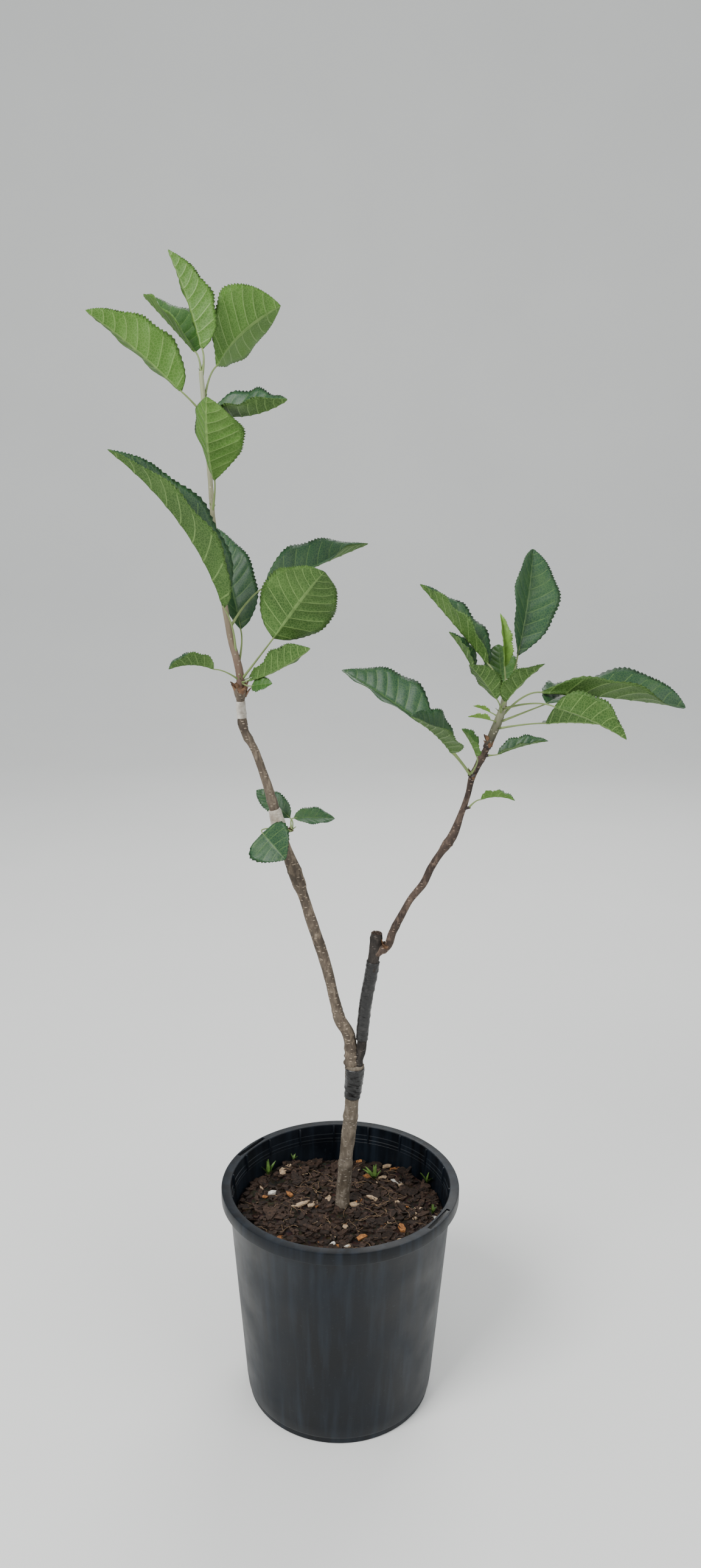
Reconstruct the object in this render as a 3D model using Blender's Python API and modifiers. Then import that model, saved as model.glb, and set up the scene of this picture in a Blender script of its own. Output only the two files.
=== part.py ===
"""Potted dwarf apple tree: a young grafted fruit tree with two leafy limbs, in a black nursery pot.

Sizes are in millimetres until a mesh is made. The origin is the centre of the pot's underside,
+Z is up, +X runs towards the right limb and the tree's front looks along -Y.
Compass headings are in degrees, 0 along +X and 90 along +Y, and a lift is degrees above level.
"""

import math
from collections import namedtuple

import bmesh
import bpy
import numpy as np

MM = 0.001
GAP = 0.3

POT_HEIGHT = 195.8
POT_SEGMENTS = 48
RIM_RADIUS = 102.0
RIM_BAND = 10.5
RIM_SHELF = 8.0
WALL_TOP_RADIUS = 95.5
WALL_FOOT_RADIUS = 80.5
WALL = 1.6
FLOOR = 3.0
FOOT_RING = 6.0
DRAIN_RADIUS = 5.0
DRAIN_CIRCLE = 66.0
DRAIN_COUNT = 8
LABEL_SLOT = (34.0, 3.4, 12.0)
LABEL_SLOT_HEADINGS = (146.0, -34.0)
LABEL_SLOT_RADIUS = 97.5

SOIL_TOP = 168.0
SOIL_BUMP = 1.6

TRUNK = [
    (2, 9, SOIL_TOP + GAP, 13.0),
    (2, 9, 173, 12.4),
    (2.6, 9, 181, 12.1),
    (4.5, 8, 210, 11.8),
    (8, 6, 251, 12.0),
    (9.5, 5, 272, 11.6),
    (10.8, 4.3, 288, 12.6),
    (11.4, 4, 297, 14.0),
    (11.4, 4, 303, 15.4),
]
LEADER = [
    (14.6, 3.4, 303 + GAP, 8.0),
    (14.6, 3.4, 307, 7.9),
    (16.3, 3, 315, 7.8),
    (17.6, 2, 335, 8.2),
    (20.3, 0, 364, 8.4),
    (24.4, -1, 389, 8.8),
    (26.8, -2, 409, 9.6),
    (28.1, -2, 423, 9.3),
]
LEFT_BOUGH = [
    (8.6, 4.5, 303 + GAP, 10.6),
    (8.6, 4.5, 308, 10.4),
    (8.1, 5, 316, 10.3),
    (5.2, 6, 332, 10.2),
    (-1.2, 6, 343, 10.4),
    (-4.8, 7, 356, 8.8),
    (-14, 9, 393, 9.0),
    (-24.5, 10, 426, 9.0),
    (-32, 11, 450, 8.6),
    (-38.6, 12, 469, 10.6),
    (-45, 12, 487, 9.2),
    (-52, 12, 510, 8.6),
    (-56, 11, 526, 7.9),
    (-62.4, 10, 549, 6.8),
    (-70, 9, 571, 6.3),
    (-79, 8, 590, 6.2),
    (-80.4, 8, 602, 6.4),
    (-81, 8, 613, 6.8),
    (-81, 8, 617, 9.4),
    (-81, 8, 622, 10.6),
]
RIGHT_BOUGH = [
    (28, -2, 406, 6.6),
    (36.6, -4, 412, 6.6),
    (40.7, -6, 425, 6.3),
    (48.2, -9, 442, 5.9),
    (55.4, -12, 457, 5.5),
    (63.7, -15, 469, 6.0),
    (69.9, -17, 484, 5.8),
    (78.5, -20, 499.5, 5.8),
    (85.3, -22, 511, 7.4),
    (90.7, -24, 527, 5.0),
    (96.4, -26, 547, 4.6),
    (98.8, -27, 560, 5.0),
    (103, -28, 570, 4.6),
    (108, -29, 581, 4.8),
    (111, -30, 589, 6.4),
]
LIMB_STEPS = 2
LIMB_BEVEL = 3

# Each wrap lies round a limb between two heights and stands out from it at its ends and middle.
Wrap = namedtuple("Wrap", "limb low high ends middle")
WRAPS = {
    "trunk_tape": Wrap("trunk", 273, 300, 0.8, 1.4),
    "leader_tape": Wrap("leader_stub", 327, 398, 0.8, 1.0),
    "graft_film": Wrap("left_bough", 496, 523, 0.6, 1.5),
    "tip_film": Wrap("left_bough", 598, 611, 0.6, 0.6),
}

# A mass of leaves grows on a stem: one that carries a limb on, or a short spur on its side.
# clear is how far its root stays off the limb's side.
Spur = namedtuple("Spur", "limb height toward length diameter clear", defaults=(GAP,))
STEMS = {
    "left_shoot_lower_leaves": [
        (-80.8, 8, 622 + GAP, 6.8),
        (-80.8, 8, 627, 6.6),
        (-88.5, 6, 664, 5.0),
        (-95, 4, 710, 4.4),
        (-99.5, 2, 752, 3.8),
    ],
    "left_shoot_top_leaves": [
        (-99.5, 2, 752 + 2 * GAP, 3.8),
        (-102, 1, 800, 3.6),
        (-106, 0, 856, 3.4),
    ],
    "graft_leaves": Spur("left_bough", 503, (320, 20), 7, 2.6, 2.0),
    "right_shoot_leaves": [
        (111.3, -30.1, 589.8, 6.4),
        (112.8, -30.6, 593.8, 6.5),
        (115.5, -31, 601, 6.5),
        (120, -30, 616, 5.0),
        (122, -30, 636, 2.6),
    ],
    "right_spur_leaves": Spur("right_bough", 562, (250, 10), 8, 4.0),
    "right_side_leaf": Spur("right_bough", 576, (330, 20), 3, 2.6),
    "right_low_leaf": Spur("right_bough", 534, (320, 20), 4, 2.6),
}

# up: how far along the stem the stalk leaves it. toward: the stalk's heading and lift.
# blade, width: size of the blade. axis: heading and lift from its foot to its tip.
# face: heading and lift that the upper side looks to. fold, cup: how far each half lifts,
# at the midrib and again out to the margin. curl: how far the midrib bends over its length.
# twist: turn of the face from foot to tip. broad: where along the blade it is widest.
Leaf = namedtuple(
    "Leaf",
    "up stalk toward blade width axis face fold cup curl twist broad",
    defaults=(30, 10, 15, 0, 0.42),
)
LEAVES = {
    "left_shoot_top_leaves": [
        Leaf(98, 21, (72, 84), 77, 36, (145, 66), (55, 20), 35),
        Leaf(100, 19, (126, 66), 77, 44, (135, 36), (330, 50), 30, curl=0),
        Leaf(72, 24, (201, 44), 85, 46, (188, 39), (90, 50), 35),
        Leaf(80, 30, (43, 67), 79, 64, (43, 38), (110, 35), 20, curl=45, broad=0.6),
        Leaf(66, 14, (298, 35), 70, 42, (325, 5), (270, 65), 40, 0, -40, -35),
        Leaf(3, 26, (286, 62), 66, 54, (269, 58), (60, 10), 30, curl=-30, broad=0.55),
    ],
    "left_shoot_lower_leaves": [
        Leaf(24, 42, (240, 69), 142, 46, (207, 53), (350, 30), 60, 0, 35),
        Leaf(17, 29, (82, 70), 92, 42, (119, 57), (300, 30), 30),
        Leaf(46, 45, (30, 45), 98, 44, (30, 19), (280, 65), 40, 0, 0, -50),
        Leaf(5, 49, (324, 47), 77, 60, (314, 43), (80, 25), 12, curl=40),
        Leaf(4, 10, (309, 15), 62, 30, (333, 27), (90, 50), 40, 0, -30, broad=0.62),
        Leaf(6, 12, (60, 0), 26, 12, (30, 20), (90, 60), 40, 0),
        Leaf(4, 14, (312, -5), 20, 14, (328, 10), (250, 40), 10, 0),
        Leaf(5, 26, (215, 25), 36, 24, (207, 3), (90, 80), 50, 0, 40),
    ],
    "graft_leaves": [
        Leaf(5, 18, (95, 20), 41, 20, (141, 25), (270, 40), 20, 0),
        Leaf(6, 11, (80, 50), 36, 18, (22, -6), (270, 50), 20, 0),
        Leaf(7, 25, (199, 0), 31, 40, (317, -32), (270, 10), 15, 0, broad=0.38),
    ],
    "right_shoot_leaves": [
        Leaf(33, 34, (40, 68), 85, 46, (68, 66), (300, 20), 30, 0, broad=0.52),
        Leaf(36, 26, (172, 60), 84, 34, (144, 42), (340, 45), 50, 0, 0),
        Leaf(34, 32, (155, 37), 34, 20, (160, 54), (340, 45), 40, 0),
        Leaf(21, 20, (249, 43), 39, 24, (215, 45), (60, 30), 30, 0),
        Leaf(38, 11, (99, 17), 42, 26, (89, 41), (270, 40), 15, 0),
        Leaf(42, 15, (180, 84), 40, 14, (156, 83), (300, 10), 50, 0),
        Leaf(22, 16, (274, 40), 50, 24, (308, 41), (120, 40), 30, 0),
        Leaf(16, 42, (26, 27), 123, 54, (12, -7), (270, 85), 40, 0, 5, 90, broad=0.55),
        Leaf(25, 42, (328, 8), 60, 38, (324, -17), (90, 40), 35, 0, 20),
        Leaf(14, 42, (17, 18), 60, 30, (56, 2), (270, 60), 20, 0),
        Leaf(9, 38, (0, 7), 54, 44, (20, -5), (90, 45), 35, 0),
        Leaf(14, 9, (223, 21), 19, 10, (199, 10), (90, 60), 20, 0),
        Leaf(18, 8, (170, 30), 14, 7, (180, 20), (90, 60), 20, 0),
    ],
    "right_spur_leaves": [
        Leaf(7, 17, (303, 66), 27, 20, (212, 56), (340, 45), 35, 0),
        Leaf(7, 48, (163, 46), 84, 50, (152, 27), (300, 55), 35, 0, 5),
        Leaf(7, 30, (225, 42), 64, 36, (231, 33), (330, 50), 45, 0),
    ],
    "right_side_leaf": [
        Leaf(2, 8, (345, 10), 39, 16, (354, 17), (270, 70), 45, 0, 20),
    ],
    "right_low_leaf": [
        Leaf(3, 12, (336, 38), 28, 14, (329, 6), (90, 75), 45, 0, 40),
    ],
}
BLADE_CELLS = (6, 4)
BLADE_THICKNESS = 0.012
BLADE_END = 0.5
STALK_DIAMETER = 2.0
STALK_POINTS = 4
STALK_REACH = 0.14


def direction(heading, lift):
    level = math.cos(math.radians(lift))
    turn = math.radians(heading)
    return np.array([math.cos(turn) * level, math.sin(turn) * level, math.sin(math.radians(lift))])


def smooth(stations, steps):
    """The stations joined by a smooth curve through all of them, each a place and a diameter."""
    given = np.array(stations, float)
    runs = np.linalg.norm(np.diff(given[:, :3], axis=0), axis=1)
    slopes = np.gradient(given, np.concatenate([[0], np.cumsum(runs)]), axis=0)
    places = []
    for k, run in enumerate(runs):
        for t in np.arange(steps) / steps:
            leaving = given[k] * (1 + 2 * t) + slopes[k] * run * t
            nearing = given[k + 1] * (3 - 2 * t) - slopes[k + 1] * run * (1 - t)
            places.append(leaving * (1 - t) ** 2 + nearing * t**2)
    places.append(given[-1])
    return np.array(places)


def place_along(curve, distance):
    runs = np.linalg.norm(np.diff(curve[:, :3], axis=0), axis=1)
    reached = np.concatenate([[0], np.cumsum(runs)])
    return np.array([np.interp(distance, reached, curve[:, k]) for k in range(3)])


def at_height(curve, height):
    return np.array([np.interp(height, curve[:, 2], curve[:, k]) for k in range(4)])


def material(name, colour, roughness, metallic=0.0):
    made = bpy.data.materials.new(name)
    made.use_nodes = True
    shader = made.node_tree.nodes["Principled BSDF"]
    shader.inputs["Base Color"].default_value = (*colour, 1.0)
    shader.inputs["Roughness"].default_value = roughness
    shader.inputs["Metallic"].default_value = metallic
    return made


def new_object(name, mesh, collection, finish=None):
    obj = bpy.data.objects.new(name, mesh)
    collection.objects.link(obj)
    if finish:
        mesh.materials.append(finish)
    return obj


def as_mesh(obj):
    """The object remade as a plain mesh with its modifiers applied and its caps welded."""
    graph = bpy.context.evaluated_depsgraph_get()
    mesh = bpy.data.meshes.new_from_object(obj.evaluated_get(graph))
    shape = bmesh.new()
    shape.from_mesh(mesh)
    bmesh.ops.remove_doubles(shape, verts=shape.verts, dist=1e-6)
    bmesh.ops.recalc_face_normals(shape, faces=shape.faces)
    shape.to_mesh(mesh)
    shape.free()
    name = obj.name
    collection = obj.users_collection[0]
    finish = obj.active_material
    place = obj.matrix_world.copy()
    bpy.data.objects.remove(obj)
    mesh.materials.clear()
    remade = new_object(name, mesh, collection, finish)
    remade.matrix_world = place
    return remade


def tube(name, curve, collection, finish=None, capped=True, bevel=LIMB_BEVEL):
    """A round bar that follows the curve and tapers with its diameters."""
    data = bpy.data.curves.new(name, "CURVE")
    data.dimensions = "3D"
    data.bevel_depth = MM
    data.bevel_resolution = bevel
    data.use_fill_caps = capped
    spline = data.splines.new("POLY")
    spline.points.add(len(curve) - 1)
    for point, (x, y, z, diameter) in zip(spline.points, curve):
        point.co = (x * MM, y * MM, z * MM, 1)
        point.radius = diameter / 2
    obj = bpy.data.objects.new(name, data)
    collection.objects.link(obj)
    if finish:
        data.materials.append(finish)
    return as_mesh(obj)


def turned(name, profile, collection, finish):
    """A profile of (radius, height) pairs turned about the Z axis."""
    mesh = bpy.data.meshes.new(name)
    points = [(radius * MM, 0, height * MM) for radius, height in profile]
    mesh.from_pydata(points, [(i, i + 1) for i in range(len(points) - 1)], [])
    obj = new_object(name, mesh, collection, finish)
    screw = obj.modifiers.new("turn", "SCREW")
    screw.steps = screw.render_steps = POT_SEGMENTS
    screw.use_merge_vertices = True
    screw.merge_threshold = 1e-6
    return as_mesh(obj)


def cut(obj, cutter):
    modifier = obj.modifiers.new("cut " + cutter.name, "BOOLEAN")
    modifier.operation = "DIFFERENCE"
    modifier.solver = "EXACT"
    modifier.object = cutter
    cutter.hide_render = True
    cutter.display_type = "WIRE"


def wall_radius(height):
    """Radius of the wall's outer face, which tapers from under the rim to the foot ring."""
    share = (height - FOOT_RING) / (POT_HEIGHT - RIM_BAND - FOOT_RING)
    return WALL_FOOT_RADIUS + (WALL_TOP_RADIUS - WALL_FOOT_RADIUS) * share


def inner_radius(height):
    """Radius of the wall's inner face, which runs straight from the floor to the rim's inner edge."""
    foot = wall_radius(FLOOR + 2) - WALL
    share = (height - FLOOR - 2) / (POT_HEIGHT - FLOOR - 2)
    return foot + (RIM_RADIUS - RIM_SHELF - foot) * share


def pot(parts, cutters, finish):
    """The pot: tapered wall, hollow turned-down rim, foot ring, and a flat hub in its underside."""
    under_rim = POT_HEIGHT - WALL
    profile = [
        (0, FLOOR + 2),
        (inner_radius(FLOOR + 2), FLOOR + 2),
        (inner_radius(POT_HEIGHT), POT_HEIGHT),
        (RIM_RADIUS, POT_HEIGHT),
        (RIM_RADIUS, POT_HEIGHT - RIM_BAND),
        (RIM_RADIUS - WALL, POT_HEIGHT - RIM_BAND),
        (RIM_RADIUS - WALL, under_rim),
        (wall_radius(under_rim), under_rim),
        (wall_radius(FOOT_RING), FOOT_RING),
        (WALL_FOOT_RADIUS - 0.8, FOOT_RING - 0.8),
        (WALL_FOOT_RADIUS - 1.2, 0),
        (DRAIN_CIRCLE + 9, 0),
        (DRAIN_CIRCLE + 7, 2),
        (DRAIN_CIRCLE - 7, 2),
        (DRAIN_CIRCLE - 9, 0),
        (0, 0),
    ]
    shell = turned("pot", profile, parts, finish)
    for k in range(DRAIN_COUNT):
        heading = 2 * math.pi * (k + 0.5) / DRAIN_COUNT
        place = (DRAIN_CIRCLE * math.cos(heading), DRAIN_CIRCLE * math.sin(heading), 2)
        drill = bmesh.new()
        bmesh.ops.create_cone(
            drill,
            cap_ends=True,
            segments=12,
            radius1=DRAIN_RADIUS * MM,
            radius2=DRAIN_RADIUS * MM,
            depth=12 * MM,
        )
        bmesh.ops.translate(drill, vec=[c * MM for c in place], verts=drill.verts)
        mesh = bpy.data.meshes.new(f"drain_{k}")
        drill.to_mesh(mesh)
        drill.free()
        cut(shell, new_object(mesh.name, mesh, cutters))
    for k, heading in enumerate(LABEL_SLOT_HEADINGS):
        block = bmesh.new()
        bmesh.ops.create_cube(block, size=1)
        length, width, depth = LABEL_SLOT
        bmesh.ops.scale(block, vec=(width * MM, length * MM, depth * MM), verts=block.verts)
        mesh = bpy.data.meshes.new(f"label_slot_{k}")
        block.to_mesh(mesh)
        block.free()
        slot = new_object(mesh.name, mesh, cutters)
        turn = math.radians(heading)
        slot.rotation_euler.z = turn
        slot.location = (
            LABEL_SLOT_RADIUS * math.cos(turn) * MM,
            LABEL_SLOT_RADIUS * math.sin(turn) * MM,
            POT_HEIGHT * MM,
        )
        cut(shell, slot)
    return shell


def soil_height(x, y):
    """Top of the soil: level at the trunk, a little bumpy, and low towards the back right."""
    away = math.hypot(x - TRUNK[0][0], y - TRUNK[0][1])
    calm = min(1, max(0, (away - 10) / 20))
    waves = math.sin(x / 9 + 1) * math.cos(y / 11) + math.sin((x + y) / 17)
    dip = 5 * max(0, (0.4 * x + 0.9 * y) / 90) ** 2
    return SOIL_TOP + calm * (SOIL_BUMP * waves - dip)


def soil(parts, finish):
    """The root ball's soil, filling the pot up to a bumpy top."""
    base = FLOOR + 2 + GAP
    edge = SOIL_TOP - 4
    rings = [0, 14, 30, 46, 62, 76, inner_radius(edge - 8) - GAP]
    profile = [(radius, SOIL_TOP) for radius in rings[:-1]]
    profile += [(rings[-1], edge), (inner_radius(base) - GAP, base), (0, base)]
    obj = turned("soil", profile, parts, finish)
    for vertex in obj.data.vertices:
        x, y, z = (c / MM for c in vertex.co)
        if z > SOIL_TOP - 1:
            vertex.co.z = soil_height(x, y) * MM
        elif z > base + 1:
            vertex.co.z = (soil_height(x, y) - 4) * MM
    return obj


def grown_length(curve, low, high, extra):
    """The limb's rings between two heights, each fattened by an extra diameter."""
    rings = [at_height(curve, height) for height in np.linspace(low, high, 9)]
    return [(*ring[:3], ring[3] + grow) for ring, grow in zip(rings, extra)]


def wrap(name, spec, limbs, parts, cutters, finish):
    """A band of tape round a limb, thickest at its middle and clear of the limb by the gap."""
    curve = limbs[spec.limb]
    clear = 2 * (GAP + 0.1)
    bulge = [spec.ends + (spec.middle - spec.ends) * math.sin(math.pi * k / 8) for k in range(9)]
    outer = grown_length(curve, spec.low, spec.high, [clear + 2 * thick for thick in bulge])
    sleeve = tube(name, outer, parts, finish, bevel=4)
    inner = grown_length(curve, spec.low - 2.5, spec.high + 2.5, [clear] * 9)
    cut(sleeve, tube(name + "_bore", inner, cutters, bevel=4))


def arc(span, bend, share):
    """Run and rise, at a share of the way, of an arc whose chord is span and that bends by bend."""
    angle = math.radians(bend)
    if abs(angle) < 1e-3:
        return span * share, 0.0
    radius = span / (2 * math.sin(angle / 2))
    here = angle / 2 - angle * share
    run = radius * (math.sin(angle / 2) - math.sin(here))
    return run, radius * (math.cos(here) - math.cos(angle / 2))


def blade_frame(leaf, share):
    """Axis, sideways and upper-side directions of the blade at a share of its length."""
    axis = direction(*leaf.axis)
    face = direction(*leaf.face)
    face -= axis * (face @ axis)
    face /= np.linalg.norm(face)
    side = np.cross(face, axis)
    turn = math.radians(leaf.twist) * (share - 0.5)
    turned_side = side * math.cos(turn) + np.cross(axis, side) * math.sin(turn)
    turned_face = face * math.cos(turn) + np.cross(axis, face) * math.sin(turn)
    return axis, turned_side, turned_face


def half_width(leaf, share):
    shift = math.log(0.5) / math.log(leaf.broad)
    round_out = math.sin(math.pi * min(max(share, 0), 1) ** shift)
    return max(BLADE_END, leaf.width / 2 * max(round_out, 0) ** 0.8)


def half_section(width, share, fold, cup):
    """Sideways run and lift of the place at a share of the way from the midrib to the margin."""
    start = math.radians(fold)
    bend = math.radians(cup)
    if abs(bend) < 1e-3:
        return width * share * math.cos(start), width * share * math.sin(start)
    run = math.sin(start + bend * share) - math.sin(start)
    return width / bend * run, width / bend * (math.cos(start) - math.cos(start + bend * share))


def blade_place(leaf, foot, share, across):
    """A place on the blade: share from foot to tip, across from one margin (-1) to the other (1)."""
    axis, side, face = blade_frame(leaf, share)
    run, rise = arc(leaf.blade, leaf.curl, share)
    out, lift = half_section(half_width(leaf, share), abs(across), leaf.fold, leaf.cup)
    tilt = math.radians(leaf.curl) * (0.5 - share)
    lean = face * math.cos(tilt) - axis * math.sin(tilt)
    middle = foot + axis * run + blade_frame(leaf, 0.5)[2] * rise
    return middle + side * math.copysign(out, across) + lean * lift


def stalk_curve(leaf, root, foot):
    """The stalk bends into the line of the blade and runs on a little way along its midrib."""
    bend = foot - direction(*leaf.axis) * leaf.stalk * 0.35
    places = []
    for t in np.linspace(0, 1, STALK_POINTS):
        place = root * (1 - t) ** 2 + bend * 2 * t * (1 - t) + foot * t**2
        places.append((*place, STALK_DIAMETER * (1.1 - 0.2 * t)))
    end = blade_place(leaf, foot, STALK_REACH, 0)
    places.append((*end, STALK_DIAMETER * 0.8))
    return places


def blade(name, leaf, foot, collection):
    """A leaf blade: a flat grid bent to the leaf's outline, fold and curl, then given thickness."""
    shape = bmesh.new()
    bmesh.ops.create_grid(shape, x_segments=BLADE_CELLS[0], y_segments=BLADE_CELLS[1], size=1)
    for vertex in shape.verts:
        place = blade_place(leaf, foot, (vertex.co.x + 1) / 2, vertex.co.y)
        vertex.co = [c * MM for c in place]
    mesh = bpy.data.meshes.new(name)
    shape.to_mesh(mesh)
    shape.free()
    obj = new_object(name, mesh, collection)
    shell = obj.modifiers.new("thickness", "SOLIDIFY")
    shell.thickness = max(1.0, BLADE_THICKNESS * leaf.blade) * MM
    shell.offset = 0
    return as_mesh(obj)


def spur_curve(spur, limbs):
    """A short stem on a limb's side. It starts at the limb's axis, and is cut clear of the limb."""
    x, y, z, diameter = at_height(limbs[spur.limb], spur.height)
    out = direction(*spur.toward)
    axis = np.array([x, y, z])
    tip = axis + out * (diameter / 2 + spur.clear + spur.length)
    return np.array([(*axis, spur.diameter), (*(axis + tip) / 2, spur.diameter), (*tip, spur.diameter)])


def limb_clearance(name, spur, limbs, collection):
    """The stretch of limb round a spur's root, fattened by what the spur stays clear of it."""
    low, high = spur.height - 30, spur.height + 25
    grown = grown_length(limbs[spur.limb], low, high, [2 * spur.clear + 0.2] * 9)
    return tube(name, grown, collection, bevel=4)


def closed(obj):
    shape = bmesh.new()
    shape.from_mesh(obj.data)
    good = bool(shape.verts) and all(edge.is_manifold for edge in shape.edges)
    shape.free()
    return good


def leafy_mass(name, limbs, parts, cutters, finish):
    """A stem with its leaves and their stalks, fused into one solid."""
    stem = STEMS[name]
    on_side = isinstance(stem, Spur)
    curve = spur_curve(stem, limbs) if on_side else smooth(stem, LIMB_STEPS)
    skip = at_height(limbs[stem.limb], stem.height)[3] / 2 + stem.clear if on_side else 0
    if on_side:
        clearance = limb_clearance(name + "_clearance", stem, limbs, cutters)
    loose = bpy.data.collections.new(name + "_pieces")
    bpy.context.scene.collection.children.link(loose)
    for k, leaf in enumerate(LEAVES[name]):
        root = place_along(curve, leaf.up + skip)
        foot = root + direction(*leaf.toward) * leaf.stalk
        blade(f"{name}_blade_{k}", leaf, foot, loose)
        tube(f"{name}_stalk_{k}", stalk_curve(leaf, root, foot), loose, bevel=1)
    for solver in ("EXACT", "MANIFOLD"):
        mass = tube(name, curve, parts, finish, bevel=2)
        union = mass.modifiers.new("fuse", "BOOLEAN")
        union.operation = "UNION"
        union.operand_type = "COLLECTION"
        union.collection = loose
        union.solver = solver
        if on_side:
            cut(mass, clearance)
        mass = as_mesh(mass)
        if closed(mass):
            break
        bpy.data.objects.remove(mass)
    for obj in list(loose.objects):
        bpy.data.objects.remove(obj)
    bpy.data.collections.remove(loose)
    return mass


def main():
    for obj in list(bpy.data.objects):
        bpy.data.objects.remove(obj)
    parts = bpy.data.collections.new("potted dwarf apple tree")
    cutters = bpy.data.collections.new("cutters")
    bpy.context.scene.collection.children.link(parts)
    bpy.context.scene.collection.children.link(cutters)

    plastic = material("black moulded plastic", (0.012, 0.016, 0.022), 0.5)
    compost = material("bark compost", (0.03, 0.018, 0.012), 0.95)
    old_bark = material("grey brown bark", (0.15, 0.12, 0.09), 0.8)
    young_bark = material("dark red brown bark", (0.04, 0.022, 0.018), 0.6)
    black_tape = material("black grafting tape", (0.012, 0.011, 0.011), 0.35)
    film = material("clear grafting film", (0.5, 0.5, 0.48), 0.4)
    leaf = material("leaf", (0.1, 0.2, 0.05), 0.55)

    pot(parts, cutters, plastic)
    soil(parts, compost)
    stations = {
        "trunk": (TRUNK, old_bark),
        "leader_stub": (LEADER, old_bark),
        "left_bough": (LEFT_BOUGH, old_bark),
        "right_bough": (RIGHT_BOUGH, young_bark),
    }
    limbs = {name: smooth(given, LIMB_STEPS) for name, (given, _) in stations.items()}
    solids = {name: tube(name, limbs[name], parts, stations[name][1]) for name in limbs}
    swollen = limbs["leader_stub"] + [0, 0, 0, 2 * GAP + 0.4]
    below = swollen[0] - [0, 0, 5, 0]
    clearance = tube("leader_clearance", np.vstack([below, swollen]), cutters)
    cut(solids["left_bough"], clearance)
    cut(solids["right_bough"], clearance)
    for name, spec in WRAPS.items():
        wrap(name, spec, limbs, parts, cutters, film if "film" in name else black_tape)
    for name in LEAVES:
        leafy_mass(name, limbs, parts, cutters, leaf)


if __name__ == "__main__":
    main()
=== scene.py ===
"""Potted dwarf apple tree, dressed for its render.

The pot, soil, wood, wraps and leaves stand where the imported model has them. Stations, stems and
leaves are in millimetres until a mesh is made. Headings are degrees round from +X towards +Y, and
lifts are degrees above level.
"""

import math
from collections import namedtuple

import bpy
import numpy as np
from bpy.props import FloatProperty, FloatVectorProperty, IntProperty, PointerProperty
from mathutils import Matrix, Vector, noise


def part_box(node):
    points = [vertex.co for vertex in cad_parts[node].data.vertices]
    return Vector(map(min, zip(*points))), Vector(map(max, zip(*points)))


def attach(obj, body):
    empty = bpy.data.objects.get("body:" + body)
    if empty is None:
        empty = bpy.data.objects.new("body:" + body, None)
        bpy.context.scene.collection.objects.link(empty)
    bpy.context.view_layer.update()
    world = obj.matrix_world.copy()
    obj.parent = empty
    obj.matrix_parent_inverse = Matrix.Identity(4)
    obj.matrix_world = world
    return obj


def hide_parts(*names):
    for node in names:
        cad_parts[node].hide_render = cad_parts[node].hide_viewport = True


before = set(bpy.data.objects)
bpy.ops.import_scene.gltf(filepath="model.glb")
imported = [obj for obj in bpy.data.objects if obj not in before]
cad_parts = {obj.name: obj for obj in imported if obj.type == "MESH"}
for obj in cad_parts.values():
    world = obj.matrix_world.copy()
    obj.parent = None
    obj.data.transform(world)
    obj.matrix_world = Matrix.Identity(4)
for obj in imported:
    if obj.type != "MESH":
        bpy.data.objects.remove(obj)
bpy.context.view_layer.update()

bl_info = {
    "name": "Potted dwarf tree",
    "version": (1, 0, 0),
    "blender": (4, 5, 0),
    "location": "View3D > Sidebar > Tree",
    "description": "Dresses a potted dwarf apple tree",
    "category": "Object",
}

MM = 0.001
POT_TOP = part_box("pot")[1]

SOIL_TOP = 168.0
SOIL_BUMP = 1.6
SOIL_EDGE = 90.6
FLOOR_TOP = 5.0
GAP = 0.3
LIMB_STEPS = 6
SHOOT_STEPS = 8
# Share of a turn from each bud scale to the next.
NEXT_SCALE = 0.382

# Stations of the limbs: across, back, height and diameter.
TRUNK = [
    (2, 9, SOIL_TOP, 13.0),
    (2, 9, 173, 12.4),
    (2.6, 9, 181, 12.1),
    (4.5, 8, 210, 11.8),
    (8, 6, 251, 12.0),
    (9.5, 5, 272, 11.6),
    (10.8, 4.3, 288, 12.6),
    (11.4, 4, 297, 14.0),
    (11.4, 4, 303, 15.4),
]
LEADER = [
    (14.6, 3.4, 303, 8.0),
    (14.6, 3.4, 307, 7.9),
    (16.3, 3, 315, 7.8),
    (17.6, 2, 335, 8.2),
    (20.3, 0, 364, 8.4),
    (24.4, -1, 389, 8.8),
    (26.8, -2, 409, 9.6),
    (28.1, -2, 423, 9.3),
]
LEFT_BOUGH = [
    (8.6, 4.5, 303, 10.6),
    (8.6, 4.5, 308, 10.4),
    (8.1, 5, 316, 10.3),
    (5.2, 6, 332, 10.2),
    (-1.2, 6, 343, 10.4),
    (-4.8, 7, 356, 8.8),
    (-14, 9, 393, 9.0),
    (-24.5, 10, 426, 9.0),
    (-32, 11, 450, 8.6),
    (-38.6, 12, 469, 10.6),
    (-45, 12, 487, 9.2),
    (-52, 12, 510, 8.6),
    (-56, 11, 526, 7.9),
    (-62.4, 10, 549, 6.8),
    (-70, 9, 571, 6.3),
    (-79, 8, 590, 6.2),
    (-80.4, 8, 602, 6.4),
    (-81, 8, 613, 6.8),
    (-81, 8, 617, 9.4),
    (-81, 8, 622, 10.6),
]
RIGHT_BOUGH = [
    (28, -2, 406, 6.6),
    (36.6, -4, 412, 6.6),
    (40.7, -6, 425, 6.3),
    (48.2, -9, 442, 5.9),
    (55.4, -12, 457, 5.5),
    (63.7, -15, 469, 6.0),
    (69.9, -17, 484, 5.8),
    (78.5, -20, 499.5, 5.8),
    (85.3, -22, 511, 7.4),
    (90.7, -24, 527, 5.0),
    (96.4, -26, 547, 4.6),
    (98.8, -27, 560, 5.0),
    (103, -28, 570, 4.6),
    (108, -29, 581, 4.8),
    (111, -30, 589, 6.4),
]

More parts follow.
